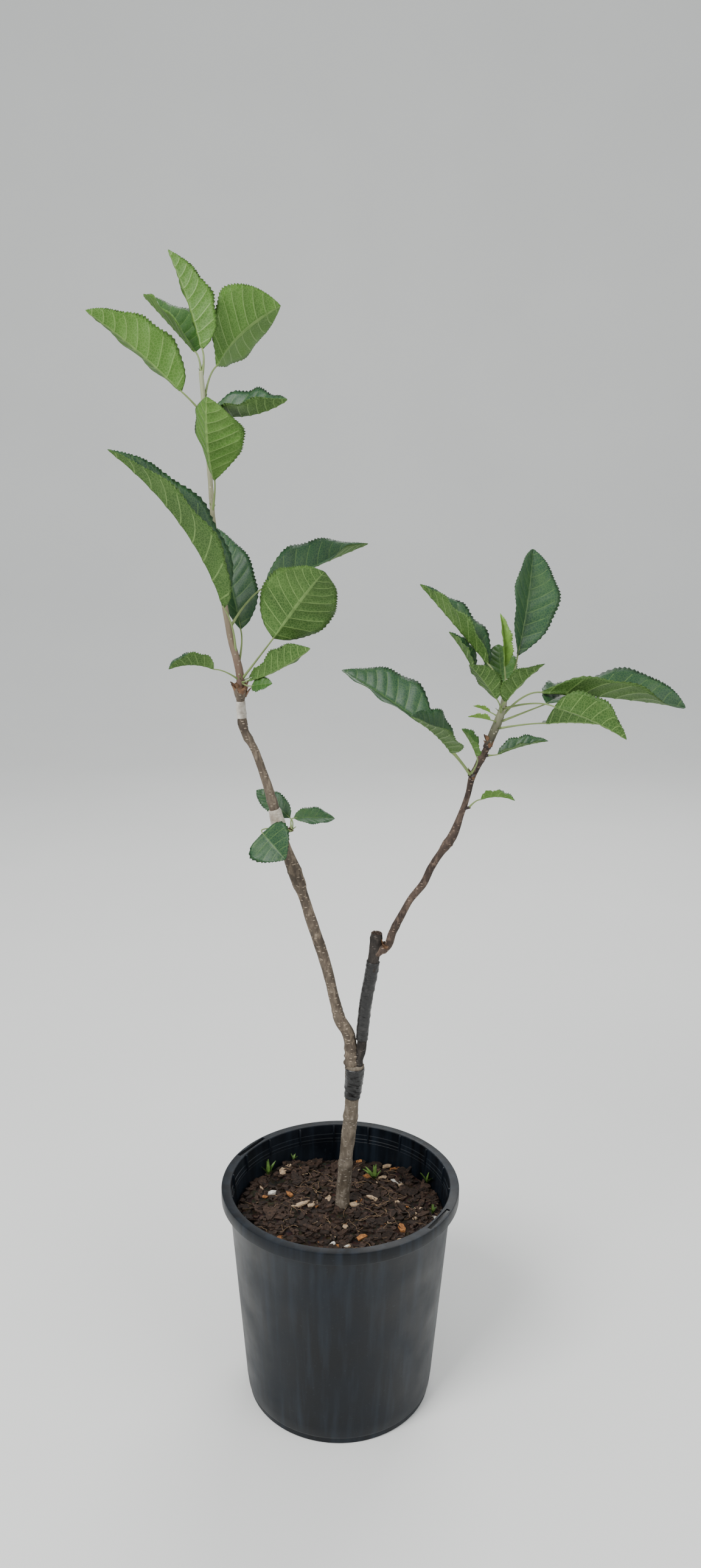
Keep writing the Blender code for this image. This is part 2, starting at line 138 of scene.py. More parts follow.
LIMBS = {
    "trunk": TRUNK,
    "leader_stub": LEADER,
    "left_bough": LEFT_BOUGH,
    "right_bough": RIGHT_BOUGH,
}

# Each limb's bark: how far its foot sinks in, how deep its furrows and its knobs are, and its
# raised rings, each with its length along the limb, its width and its height.
Bark = namedtuple("Bark", "piece sunk furrow knobs rings")
BARKS = {
    "trunk": Bark("trunk_bark", 6, 0.45, 0.7, ((46, 2.5, 0.5), (92, 3, 0.6), (120, 8, 0.8))),
    "leader_stub": Bark("leader_bark", 9, 0.35, 0.5, ((100, 3, 0.8), (126, 2, 0.5))),
    "left_bough": Bark(
        "left_bough_bark",
        12,
        0.28,
        0.45,
        (
            *((14, 2.2, 1.3), (20, 1.6, 1.0), (27, 2, 0.6), (58, 1.4, 0.35), (63, 1.2, 0.4)),
            *((176, 5, 0.7), (188, 2, 0.5), (250, 2, 0.35), (305, 3, 0.7), (318, 5, 0.6)),
        ),
    ),
    "right_bough": Bark(
        "right_bough_bark",
        5,
        0.2,
        0.35,
        ((5, 3, 0.9), (12, 2, 0.7), (36, 2, 0.3), (118, 4, 0.5), (122, 1.5, 0.4), (196, 4, 0.7)),
    ),
}

# Each wrap lies round a limb between two heights and stands out from it at its ends and middle.
# pull is how deep its creases are.
Wrap = namedtuple("Wrap", "limb low high ends middle turns pull")
WRAPS = {
    "trunk_tape": Wrap("trunk", 273, 300, 0.8, 1.4, 3.2, 0.5),
    "leader_tape": Wrap("leader_stub", 327, 398, 0.8, 1.0, 8.5, 0.3),
    "graft_film": Wrap("left_bough", 496, 523, 0.6, 1.5, 4.2, 0.6),
    "tip_film": Wrap("left_bough", 598, 611, 0.6, 0.6, 2.2, 0.35),
}

# A mass of leaves grows on a stem: one that carries a limb on, or a short spur on its side.
# clear is how far its root stays off the limb's side.
Spur = namedtuple("Spur", "limb height toward length diameter clear", defaults=(GAP,))
STEMS = {
    "left_shoot_lower_leaves": [
        (-80.8, 8, 622 + GAP, 6.8),
        (-80.8, 8, 627, 6.6),
        (-88.5, 6, 664, 5.0),
        (-95, 4, 710, 4.4),
        (-99.5, 2, 752, 3.8),
    ],
    "left_shoot_top_leaves": [
        (-99.5, 2, 752 + 2 * GAP, 3.8),
        (-102, 1, 800, 3.6),
        (-106, 0, 856, 3.4),
    ],
    "graft_leaves": Spur("left_bough", 503, (320, 20), 7, 2.6, 2.0),
    "right_shoot_leaves": [
        (111.3, -30.1, 589.8, 6.4),
        (112.8, -30.6, 593.8, 6.5),
        (115.5, -31, 601, 6.5),
        (120, -30, 616, 5.0),
        (122, -30, 636, 2.6),
    ],
    "right_spur_leaves": Spur("right_bough", 562, (250, 10), 8, 4.0),
    "right_side_leaf": Spur("right_bough", 576, (330, 20), 3, 2.6),
    "right_low_leaf": Spur("right_bough", 534, (320, 20), 4, 2.6),
}

# up: how far along the stem the stalk leaves it. toward: the stalk's heading and lift.
# blade, width: size of the blade. axis: heading and lift from its foot to its tip.
# face: heading and lift that the upper side looks to. fold, cup: how far each half lifts,
# at the midrib and again out to the margin. curl: how far the midrib bends over its length.
# twist: turn of the face from foot to tip. broad: where along the blade it is widest.
Leaf = namedtuple(
    "Leaf",
    "up stalk toward blade width axis face fold cup curl twist broad",
    defaults=(30, 10, 15, 0, 0.42),
)
LEAVES = {
    "left_shoot_top_leaves": [
        Leaf(98, 21, (72, 84), 77, 36, (145, 66), (55, 20), 35),
        Leaf(100, 19, (126, 66), 77, 44, (135, 36), (330, 50), 30, curl=0),
        Leaf(72, 24, (201, 44), 85, 46, (188, 39), (90, 50), 35),
        Leaf(80, 30, (43, 67), 79, 64, (43, 38), (110, 35), 20, curl=45, broad=0.6),
        Leaf(66, 14, (298, 35), 70, 42, (325, 5), (270, 65), 40, 0, -40, -35),
        Leaf(3, 26, (286, 62), 66, 54, (269, 58), (60, 10), 30, curl=-30, broad=0.55),
    ],
    "left_shoot_lower_leaves": [
        Leaf(24, 42, (240, 69), 142, 46, (207, 53), (350, 30), 60, 0, 35),
        Leaf(17, 29, (82, 70), 92, 42, (119, 57), (300, 30), 30),
        Leaf(46, 45, (30, 45), 98, 44, (30, 19), (280, 65), 40, 0, 0, -50),
        Leaf(5, 49, (324, 47), 77, 60, (314, 43), (80, 25), 12, curl=40),
        Leaf(4, 10, (309, 15), 62, 30, (333, 27), (90, 50), 40, 0, -30, broad=0.62),
        Leaf(6, 12, (60, 0), 26, 12, (30, 20), (90, 60), 40, 0),
        Leaf(4, 14, (312, -5), 20, 14, (328, 10), (250, 40), 10, 0),
        Leaf(5, 26, (215, 25), 36, 24, (207, 3), (90, 80), 50, 0, 40),
    ],
    "graft_leaves": [
        Leaf(5, 18, (95, 20), 41, 20, (141, 25), (270, 40), 20, 0),
        Leaf(6, 11, (80, 50), 36, 18, (22, -6), (270, 50), 20, 0),
        Leaf(7, 25, (199, 0), 31, 40, (317, -32), (270, 10), 15, 0, broad=0.38),
    ],
    "right_shoot_leaves": [
        Leaf(33, 34, (40, 68), 85, 46, (68, 66), (300, 20), 30, 0, broad=0.52),
        Leaf(36, 26, (172, 60), 84, 34, (144, 42), (340, 45), 50, 0, 0),
        Leaf(34, 32, (155, 37), 34, 20, (160, 54), (340, 45), 40, 0),
        Leaf(21, 20, (249, 43), 39, 24, (215, 45), (60, 30), 30, 0),
        Leaf(38, 11, (99, 17), 42, 26, (89, 41), (270, 40), 15, 0),
        Leaf(42, 15, (180, 84), 40, 14, (156, 83), (300, 10), 50, 0),
        Leaf(22, 16, (274, 40), 50, 24, (308, 41), (120, 40), 30, 0),
        Leaf(16, 42, (26, 27), 123, 54, (12, -7), (270, 85), 40, 0, 5, 90, broad=0.55),
        Leaf(25, 42, (328, 8), 60, 38, (324, -17), (90, 40), 35, 0, 20),
        Leaf(14, 42, (17, 18), 60, 30, (56, 2), (270, 60), 20, 0),
        Leaf(9, 38, (0, 7), 54, 44, (20, -5), (90, 45), 35, 0),
        Leaf(14, 9, (223, 21), 19, 10, (199, 10), (90, 60), 20, 0),
        Leaf(18, 8, (170, 30), 14, 7, (180, 20), (90, 60), 20, 0),
    ],
    "right_spur_leaves": [
        Leaf(7, 17, (303, 66), 27, 20, (212, 56), (340, 45), 35, 0),
        Leaf(7, 48, (163, 46), 84, 50, (152, 27), (300, 55), 35, 0, 5),
        Leaf(7, 30, (225, 42), 64, 36, (231, 33), (330, 50), 45, 0),
    ],
    "right_side_leaf": [
        Leaf(2, 8, (345, 10), 39, 16, (354, 17), (270, 70), 45, 0, 20),
    ],
    "right_low_leaf": [
        Leaf(3, 12, (336, 38), 28, 14, (329, 6), (90, 75), 45, 0, 40),
    ],
}

# Leaves that opened later than the rest are yellower, and are listed by their place in a mass.
TONES = ("mature", "fresh", "young")
NEWER_LEAVES = {
    "left_shoot_top_leaves": {0: "fresh", 1: "fresh", 2: "fresh", 3: "fresh", 5: "fresh"},
    "left_shoot_lower_leaves": {5: "fresh", 6: "fresh"},
    "right_shoot_leaves": {4: "fresh", 5: "young", 11: "young", 12: "young"},
    "right_spur_leaves": {0: "fresh"},
    "right_low_leaf": {0: "fresh"},
}

BLACK = (0, 0, 0, 1)
# A colour mix numbers its sockets: its share, its two colours and its result.
SHARE, FIRST, SECOND = 0, 6, 7
COLOUR_MIX = {"data_type": "RGBA", "output": 2}


def colour(code, alpha=1.0):
    """An sRGB hex code as linear red, green, blue and alpha."""
    made = []
    for k in (1, 3, 5):
        level = int(code[k : k + 2], 16) / 255
        made.append(level / 12.92 if level <= 0.04045 else ((level + 0.055) / 1.055) ** 2.4)
    return (*made, alpha)


def blend_colour(first, second, share):
    return tuple(a * (1 - share) + b * share for a, b in zip(first, second))


def hue(name, code, about):
    """A colour that a user can change, with its default given as a hex code."""
    return FloatVectorProperty(
        name=name, description=about, subtype="COLOR", size=4, min=0, max=1, default=colour(code)
    )


def size(name, millimetres, about):
    """A length that a user can change, with its default given in millimetres."""
    return FloatProperty(
        name=name, description=about, unit="LENGTH", min=0, default=millimetres * MM, precision=4
    )


def swing(name, degrees, about):
    """A turn that a user can change, with its default given in degrees."""
    return FloatProperty(
        name=name, description=about, subtype="ANGLE", default=math.radians(degrees)
    )


def count(name, number, about):
    """A whole number that a user can change."""
    return IntProperty(name=name, description=about, min=1, default=number)


class PotSettings(bpy.types.PropertyGroup):
    height: size("Height", POT_TOP[2] / MM, "From the ground to the top of the rim")
    rim_radius: size("Rim radius", POT_TOP[0] / MM, "Outer radius of the turned-down rim")
    rim_inner_radius: size("Rim inner radius", 94, "Radius of the rim's inner edge")
    rim_band: size("Rim band", 10.5, "Height of the turned-down rim")
    wall_top_radius: size("Wall top radius", 95.5, "Outer radius of the wall under the rim")
    wall_foot_radius: size("Wall foot radius", 80.5, "Outer radius of the wall at the foot ring")
    wall: size("Wall", 1.6, "Thickness of the moulded wall")
    drain_circle: size("Drain circle", 66, "Radius of the circle that the drain holes lie on")
    plastic: hue("Plastic", "#04070c", "Colour of the clean plastic")
    worn: hue("Worn plastic", "#1c242d", "Colour of the streaks and of dust in the grain")


class SoilSettings(bpy.types.PropertyGroup):
    chips: count("Chips", 1500, "Bark chips on the soil")
    fibres: count("Fibres", 90, "Loose root fibres")
    seed: count("Seed", 7, "Seed for the scatter of chips")
    dark: hue("Damp soil", "#14100d", "Colour of the damp soil between the chips")
    light: hue("Dry soil", "#382d24", "Colour of the dry crumbs on top")


class WoodSettings(bpy.types.PropertyGroup):
    ring_step: size("Ring step", 1.1, "Distance between the rings of a bark mesh")
    sides: count("Sides", 44, "Corners of each bark ring")
    trunk: hue("Trunk bark", "#574d40", "Colour of the old bark on the trunk")
    bough: hue("Bough bark", "#4b4238", "Colour of the smooth bark on the left bough")
    dark_bough: hue("Dark bough bark", "#2d2420", "Colour of the thin bark on the right bough")
    tape: hue("Tape", "#0c0b0b", "Colour of the grafting tape")
    film: hue("Film", "#b3ab9c", "Colour of the cloudy grafting film")


class LeafSettings(bpy.types.PropertyGroup):
    thickness: size("Thickness", 0.5, "Thickness of a blade")
    pucker: size("Pucker", 0.75, "How far a blade bulges up between its side veins")
    wave: size("Wave", 1.9, "How far the margin waves up and down")
    tooth: size("Tooth", 0.85, "How far each tooth stands out of the margin")
    mature_upper: hue("Upper side", "#22452a", "Colour of a grown leaf's upper side")
    mature_under: hue("Underside", "#36571d", "Colour of a grown leaf's underside")
    fresh_upper: hue("Fresh upper side", "#315820", "Colour of a newer leaf's upper side")
    fresh_under: hue("Fresh underside", "#446b20", "Colour of a newer leaf's underside")
    young_upper: hue("Young upper side", "#668c35", "Colour of a young leaf's upper side")
    young_under: hue("Young underside", "#749a3f", "Colour of a young leaf's underside")
    vein: hue("Veins", "#769350", "Colour of the raised veins underneath")
    stalk: hue("Stalks", "#7a8c55", "Colour of the leaf stalks")
    shoot_foot: hue("Shoot foot", "#6a5348", "Colour of this year's shoot at its foot")
    shoot_tip: hue("Shoot tip", "#9aa07e", "Colour of this year's shoot at its tip")


class StageSettings(bpy.types.PropertyGroup):
    camera_distance: size("Camera distance", 905.6, "From the pot's axis to the camera")
    camera_height: size("Camera height", 765.4, "From the ground to the camera")
    lens: FloatProperty(name="Lens", description="Focal length", unit="CAMERA", default=27.04)
    pitch: swing("Pitch", 13.55, "Downward tilt of the camera")
    yaw: swing("Yaw", 0.362, "Turn of the camera to the right")
    roll: swing("Roll", 0.498, "Clockwise roll of the camera")
    floor: hue("Floor", "#e9e9e6", "Colour of the studio floor")


def plug(tree, node, inputs):
    """Sets a node's inputs, by name, by number or in order, to a value, or links them to a socket."""
    pairs = inputs.items() if isinstance(inputs, dict) else enumerate(inputs)
    for key, value in pairs:
        if isinstance(value, bpy.types.NodeSocket):
            tree.links.new(value, node.inputs[key])
        elif value is not None:
            node.inputs[key].default_value = value


def add_node(tree, kind, inputs=(), stops=(), output=0, **settings):
    """Adds a shader node with its settings, links and colour stops. Returns one of its outputs."""
    node = tree.nodes.new("ShaderNode" + kind)
    for key, value in settings.items():
        setattr(node, key, value)
    plug(tree, node, inputs)
    if stops:
        elements = node.color_ramp.elements
        while len(elements) < len(stops):
            elements.new(0.5)
        for element, (position, shade) in zip(elements, stops):
            element.position = position
            element.color = shade
    return node.outputs[output]


def start_material(name, roughness, ior=1.45, specular=0.5):
    """A material with one Principled shader: it, its node tree, the shader, and place in metres."""
    material = bpy.data.materials.new(name)
    material.use_nodes = True
    tree = material.node_tree
    shader = tree.nodes["Principled BSDF"]
    plug(tree, shader, {"Roughness": roughness, "IOR": ior, "Specular IOR Level": specular})
    return material, tree, shader, add_node(tree, "TexCoord", output="Object")


def finish(tree, shader, shade, coats=(), bumps=(), roughness=None):
    """Gives a shader its colour, the coats that lie over it, its bumps and its roughness.

    A coat is a share and a colour. Between them may stand the share's low and high, and the new
    low and high that they are spread over, as in the roughness. A bump is a height, its depth in
    millimetres and its strength.
    """
    for share, *span, coat in coats:
        if span:
            share = add_node(tree, "MapRange", (share, *span))
        shade = add_node(tree, "Mix", {SHARE: share, FIRST: shade, SECOND: coat}, **COLOUR_MIX)
    if roughness:
        roughness = add_node(tree, "MapRange", roughness)
    normal = None
    for height, deep, strength in bumps:
        inputs = {"Height": height, "Distance": deep * MM, "Strength": strength, "Normal": normal}
        normal = add_node(tree, "Bump", inputs)
    plug(tree, shader, {"Base Color": shade, "Roughness": roughness, "Normal": normal})


# The scale of each pattern below is 1000 over the size of its blotches or cells in millimetres.


def mottled(name, roughness, blotch, stops, bump=None, specular=0.5, detail=3, tall=1, swirl=0):
    """A material of blotches of one size, in a few shades, with a bump that follows them.

    tall squeezes the blotches along the height, and swirl drags them about.
    """
    material, tree, shader, place = start_material(name, roughness, specular=specular)
    place = add_node(tree, "VectorMath", (place, (1, 1, tall)), operation="MULTIPLY")
    inputs = {"Vector": place, "Scale": 1000 / blotch, "Detail": detail, "Distortion": swirl}
    cloud = add_node(tree, "TexNoise", inputs)
    shade = add_node(tree, "ValToRGB", {"Fac": cloud}, stops)
    finish(tree, shader, shade, bumps=((cloud, *bump),) if bump else ())
    return material


def moulded_polypropylene(settings):
    """Injection-moulded black polypropylene: satin, streaked by water, greyer where it is dusty."""
    name = "moulded black polypropylene"
    material, tree, shader, place = start_material(name, 0.42, ior=1.49, specular=0.25)
    cloud = add_node(tree, "TexNoise", {"Vector": place, "Scale": 1000 / 38, "Detail": 5})
    # Water and soil have run down the wall, and left upright streaks about 7 mm wide.
    upright = add_node(tree, "VectorMath", (place, (1, 1, 0.06)), operation="MULTIPLY")
    inputs = {"Vector": upright, "Scale": 1000 / 7, "Detail": 5, "Distortion": 0.2}
    streak = add_node(tree, "TexNoise", inputs)
    speck = add_node(tree, "TexNoise", {"Vector": place, "Scale": 1000 / 2.2, "Detail": 2})
    # The mould's own grain is finer, and is drawn 0.9 mm wide so that it shows.
    grain = add_node(tree, "TexNoise", {"Vector": place, "Scale": 1000 / 0.9, "Detail": 2})
    coats = (
        (cloud, 0.35, 0.7, 0, 0.35, settings.worn),
        (streak, 0.45, 0.72, 0, 0.75, settings.worn),
        (speck, 0.64, 0.74, 0, 0.35, colour("#262b30")),
    )
    bumps = (cloud, 0.35, 0.5), (grain, 0.05, 0.35)
    finish(tree, shader, settings.plastic, coats, bumps, (cloud, 0.3, 0.75, 0.34, 0.56))
    return material


def potting_soil(settings):
    """Damp peat and bark crumbs: no shine, with drier lighter crumbs about 3 mm across on top."""
    material, tree, shader, place = start_material("damp potting soil", 0.95, specular=0.2)
    crumbs = add_node(tree, "TexVoronoi", {"Vector": place, "Scale": 1000 / 3.2})
    inputs = {"Vector": place, "Scale": 1000 / 9, "Detail": 6, "Distortion": 0.4}
    damp = add_node(tree, "TexNoise", inputs)
    middle = blend_colour(settings.dark, settings.light, 0.45)
    stops = (0.32, settings.dark), (0.55, middle), (0.78, settings.light)
    shade = add_node(tree, "ValToRGB", {"Fac": damp}, stops)
    inputs = {SHARE: 0.35, FIRST: shade, SECOND: crumbs.node.outputs["Color"]}
    shade = add_node(tree, "Mix", inputs, blend_type="SOFT_LIGHT", **COLOUR_MIX)
    grit = add_node(tree, "TexNoise", {"Vector": place, "Scale": 1000 / 1.1, "Detail": 4})
    finish(tree, shader, shade, bumps=((crumbs, 1.2, 0.7), (grit, 0.5, 0.7)))
    return material


def bark_chip(name, code, dark):
    """Composted bark and grit: dull and fibrous, darker in pores 2.4 mm long and 0.8 mm thick."""
    stops = (0.3, colour(dark)), (0.7, colour(code))
    return mottled(name, 0.85, 2.4, stops, (0.3, 0.6), specular=0.3, detail=5, tall=3)


def old_bark(name, base, flake, streak):
    """Bark of some years: grey brown, with paler flakes of dead skin and pale cross-wise pores."""
    material, tree, shader, place = start_material(name, 0.78, specular=0.35)
    along = add_node(tree, "VectorMath", (place, (1, 1, 0.4)), operation="MULTIPLY")
    across = add_node(tree, "VectorMath", (place, (1, 1, 3.2)), operation="MULTIPLY")
    inputs = {"Vector": along, "Scale": 1000 / 3.4, "Detail": 8, "Distortion": 0.3}
    mottle = add_node(tree, "TexNoise", inputs)
    worn = add_node(tree, "TexNoise", {"Vector": place, "Scale": 1000 / 25, "Detail": 3})
    line = add_node(tree, "TexNoise", {"Vector": along, "Scale": 1000 / 1.3, "Detail": 4})
    grit = add_node(tree, "TexNoise", {"Vector": along, "Scale": 1000 / 0.9, "Detail": 4})
    # Pores are pale dashes 2 to 3 mm wide and under 1 mm high.
    pores = add_node(tree, "TexVoronoi", {"Vector": across, "Scale": 1000 / 5.5})
    dash = add_node(tree, "MapRange", (pores, 0.16, 0.26, 0.85, 0))
    pale = blend_colour(base, flake, 0.6)
    stops = (0.3, blend_colour(base, BLACK, 0.4)), (0.5, base), (0.76, pale)
    shade = add_node(tree, "ValToRGB", {"Fac": mottle}, stops)
    # Weathered stretches are greyer, over lengths of about 25 mm.
    coats = (
        (worn, 0.4, 0.65, 0, 0.45, blend_colour(base, flake, 0.5)),
        (line, 0.5, 0.72, 0, 0.6, streak),
        (dash, flake),
    )
    bumps = (mottle, 0.6, 0.6), (grit, 0.25, 0.6), (dash, 0.25, 0.7)
    finish(tree, shader, shade, coats, bumps, (mottle, 0.3, 0.7, 0.66, 0.9))
    return material


def young_bark(name, foot, tip, low, high):
    """Smooth bark of a new shoot, brown at its foot and green at its tip, with pale pores."""
    material, tree, shader, place = start_material(name, 0.55, specular=0.4)
    height = add_node(tree, "SeparateXYZ", {"Vector": place}, output="Z")
    share = add_node(tree, "MapRange", (height, low * MM, high * MM, 0, 1))
    stops = (0, foot), (0.45, blend_colour(foot, tip, 0.5)), (1, tip)
    shade = add_node(tree, "ValToRGB", {"Fac": share}, stops)
    along = add_node(tree, "VectorMath", (place, (1, 1, 0.3)), operation="MULTIPLY")
    mottle = add_node(tree, "TexNoise", {"Vector": along, "Scale": 1000 / 3.2, "Detail": 4})
    pores = add_node(tree, "TexVoronoi", {"Vector": place, "Scale": 1000 / 4.2})
    dot = add_node(tree, "MapRange", (pores, 0.1, 0.2, 0.7, 0))
    coats = (mottle, 0.45, 0.75, 0, 0.35, colour("#3c2b22")), (dot, colour("#b9b29a"))
    finish(tree, shader, shade, coats, ((dot, 0.2, 0.6),))
    return material


def cut_wood():
    """A pruning cut that has weathered: dark end grain with fine cracks."""
    stops = (0.3, colour("#15110f")), (0.55, colour("#3a2e27")), (0.8, colour("#6e6257"))
    name = "weathered end grain"
    return mottled(name, 0.9, 1.6, stops, (0.6, 0.9), specular=0.2, detail=5, swirl=0.8)


def grafting_tape(settings):
    """Stretched black PVC tape: glossy where it is tight, scuffed grey along its raised turns."""
    material, tree, shader, place = start_material("stretched black tape", 0.3, ior=1.53)
    level = add_node(tree, "VectorMath", (place, (1, 1, 2.2)), operation="MULTIPLY")
    inputs = {"Vector": level, "Scale": 1000 / 7, "Detail": 6, "Distortion": 0.7}
    dust = add_node(tree, "TexNoise", inputs)
    flat = add_node(tree, "VectorMath", (place, (1, 1, 5)), operation="MULTIPLY")
    fine = add_node(tree, "TexNoise", {"Vector": flat, "Scale": 1000 / 2.4, "Detail": 5})
    coats = (
        (dust, 0.56, 0.78, 0, 0.5, colour("#4a4846")),
        (fine, 0.64, 0.78, 0, 0.35, colour("#85827c")),
    )
    dull = (dust, 0.35, 0.7, 0.22, 0.65)
    finish(tree, shader, settings.tape, coats, ((fine, 0.18, 0.6),), dull)
    return material


def grafting_film(name, shade, stain):
    """Stretched grafting film: waxy and cloudy, creased along its turns, bark showing through."""
    material, tree, shader, place = start_material(name, 0.36, ior=1.5)
    flat = add_node(tree, "VectorMath", (place, (1, 1, 4)), operation="MULTIPLY")
    inputs = {"Vector": flat, "Scale": 1000 / 3.4, "Detail": 5, "Distortion": 0.6}
    creases = add_node(tree, "TexNoise", inputs)
    cloud = add_node(tree, "TexNoise", {"Vector": place, "Scale": 1000 / 8, "Detail": 4})
    finish(tree, shader, shade, ((cloud, 0.42, 0.66, 0, 0.8, stain),), ((creases, 0.35, 0.8),))
    plug(tree, shader, {"Coat Weight": 0.25})
    return material


def leaf_side(name, base, pale, net, shine):
    """One side of a leaf: matt cuticle over a net of small veins.

    The real net is finer, and is drawn 2 mm wide so that it shows.
    """
    material, tree, shader, place = start_material(name, shine, specular=0.4)
    inputs = {"Vector": place, "Scale": 1000 / 2}
    cells = add_node(tree, "TexVoronoi", inputs, feature="DISTANCE_TO_EDGE")
    cloud = add_node(tree, "TexNoise", {"Vector": place, "Scale": 1000 / 24, "Detail": 3})
    swell = add_node(tree, "TexNoise", {"Vector": place, "Scale": 1000 / 5, "Detail": 3})
    dark, light = blend_colour(base, BLACK, 0.14), blend_colour(base, pale, 0.22)
    stops = (0.34, dark), (0.52, base), (0.72, light)
    shade = add_node(tree, "ValToRGB", {"Fac": cloud}, stops)
    web = (cells, 0.02, 0.13, net, 0, pale)
    finish(tree, shader, shade, (web,), ((cells, 0.12, 0.5), (swell, 0.3, 0.5)))
    return material


def plain_skin(name, shade, dark, roughness=0.5):
    """Smooth skin of a stalk, vein or root, with faint blotches about 4 mm across."""
    stops = (0.35, dark), (0.65, shade)
    return mottled(name, roughness, 4, stops, (0.1, 0.4), specular=0.4)


def direction(heading, lift):
    turn, rise = math.radians(heading), math.radians(lift)
    level = math.cos(rise)
    return np.array([math.cos(turn) * level, math.sin(turn) * level, math.sin(rise)])


def unit(vectors):
    return vectors / np.linalg.norm(vectors, axis=-1, keepdims=True)


def smooth(stations, steps):
    """The stations joined by a smooth curve through all of them, each a place and a diameter."""
    given = np.array(stations, float)
    runs = np.linalg.norm(np.diff(given[:, :3], axis=0), axis=1)
    slopes = np.gradient(given, np.concatenate([[0], np.cumsum(runs)]), axis=0)
    places = []
    for k, run in enumerate(runs):
        for t in np.arange(steps) / steps:
            leaving = given[k] * (1 + 2 * t) + slopes[k] * run * t
            nearing = given[k + 1] * (3 - 2 * t) - slopes[k + 1] * run * (1 - t)
            places.append(leaving * (1 - t) ** 2 + nearing * t**2)
    return np.array([*places, given[-1]])


def lengths_along(curve):
    runs = np.linalg.norm(np.diff(curve[:, :3], axis=0), axis=1)
    return np.concatenate([[0], np.cumsum(runs)])


def at_lengths(curve, wanted):
    reached = lengths_along(curve)
    return np.stack([np.interp(wanted, reached, curve[:, k]) for k in range(curve.shape[1])], -1)


def at_height(curve, height):
    return np.array([np.interp(height, curve[:, 2], curve[:, k]) for k in range(4)])


def evenly(curve, step):
    """The curve's places and diameters at even steps along it."""
    total = lengths_along(curve)[-1]
    return at_lengths(curve, np.linspace(0, total, max(2, round(total / step) + 1)))


def reach_back(curve, distance):
    """The curve begun a little sooner, so that its foot sinks into what carries it."""
    start = curve[0].copy()
    start[:3] -= unit(curve[1, :3] - curve[0, :3]) * distance
    return np.vstack([start, curve])


def ring_frames(places):
    """Two directions square to the curve at each place, carried along it without a twist."""
    ahead = unit(np.gradient(places, axis=0))
    side = np.cross(ahead[0], [0, 1, 0] if abs(ahead[0][1]) < 0.9 else [1, 0, 0])
    sides = []
    for tangent in ahead:
        side = unit(side - tangent * (side @ tangent))
        sides.append(side)
    sides = np.array(sides)
    return sides, np.cross(ahead, sides)


class Shape:
    """Points in millimetres and faces with their material slots, gathered piece by piece."""

    def __init__(self):
        self.points = []
        self.faces = []
        self.slots = []
        self.count = 0

    def add(self, points, faces, slots=0):
        self.points.append(np.asarray(points, float))
        self.faces += [tuple(self.count + i for i in face) for face in faces]
        self.slots += [slots] * len(faces) if isinstance(slots, int) else list(slots)
        self.count += len(points)

    def tube(self, rings, slot=0, foot_cap=True, tip_cap=True):
        """A skin over rings of points, an array of rings, corners and coordinates."""
        total, sides = rings.shape[:2]
        faces = []
        for k in range(total - 1):
            low, high = k * sides, (k + 1) * sides
            for i in range(sides):
                j = (i + 1) % sides
                faces.append((low + i, low + j, high + j, high + i))
        if foot_cap:
            faces.append(tuple(reversed(range(sides))))
        if tip_cap:
            faces.append(tuple(range((total - 1) * sides, total * sides)))
        self.add(rings.reshape(-1, 3), faces, slot)

    def solid(self, name, materials=(), sharp=False):
        mesh = bpy.data.meshes.new(name)
        points = np.vstack(self.points) * MM
        mesh.from_pydata(points.tolist(), [], self.faces)
        for material in materials:
            mesh.materials.append(material)
        mesh.polygons.foreach_set("material_index", self.slots)
        mesh.polygons.foreach_set("use_smooth", [not sharp] * len(self.faces))
        mesh.update()
        obj = bpy.data.objects.new(name, mesh)
        bpy.context.scene.collection.objects.link(obj)
        return obj

    def made(self, name, materials, node=None, slot=None, sharp=False):
        """The finished piece, riding on the plant and standing for its node where it has one."""
        obj = self.solid(name, materials, sharp)
        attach(obj, "root")
        if node:
            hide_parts(node)
        return obj


def ringed(curve, sides, relief_at=None):
    """Rings round a curve. relief_at gives what is added to the radius at each angle and length."""
    places = curve[:, :3]
    side, up = ring_frames(places)
    angles = np.arange(sides) * 2 * math.pi / sides
    reach = np.repeat(curve[:, 3:] / 2, sides, axis=1)
    if relief_at:
        reach = reach + relief_at(places, angles)
    around = np.cos(angles)[None, :, None] * side[:, None]
    around = around + np.sin(angles)[None, :, None] * up[:, None]
    return places[:, None] + around * reach[..., None]


def bark_relief(furrow, knobs, rings=()):
    """Relief of a bark: long furrows, soft knobs, and rings raised at their own lengths."""

    def relief_at(places, angles):
        made = np.zeros((len(places), len(angles)))
        for k, along in enumerate(lengths_along(places)):
            ridge = sum(high * math.exp(-(((along - at) / wide) ** 2)) for at, wide, high in rings)
            for i, angle in enumerate(angles):
                x, y = math.cos(angle), math.sin(angle)
                fine = noise.noise((x * 3.2, y * 3.2, along * 0.11))
                grit = noise.noise((x * 7, y * 7, along * 0.55))
                knob = noise.noise((x * 0.9 + 5, y * 0.9, along * 0.045))
                rough = noise.noise((x * 2.4, y * 2.4, along * 0.8))
                made[k, i] = furrow * (fine + 0.45 * grit) + knobs * knob
                made[k, i] += ridge * (1 + 0.7 * rough)
        return made

    return relief_at


# The dished face of a pruning cut: each ring's share of the radius, and how far it lies ahead.
CUT_FACE = ((0.9, 0.5), (0.72, -0.5), (0.5, -0.9), (0.3, -0.4), (0.12, -1.0))


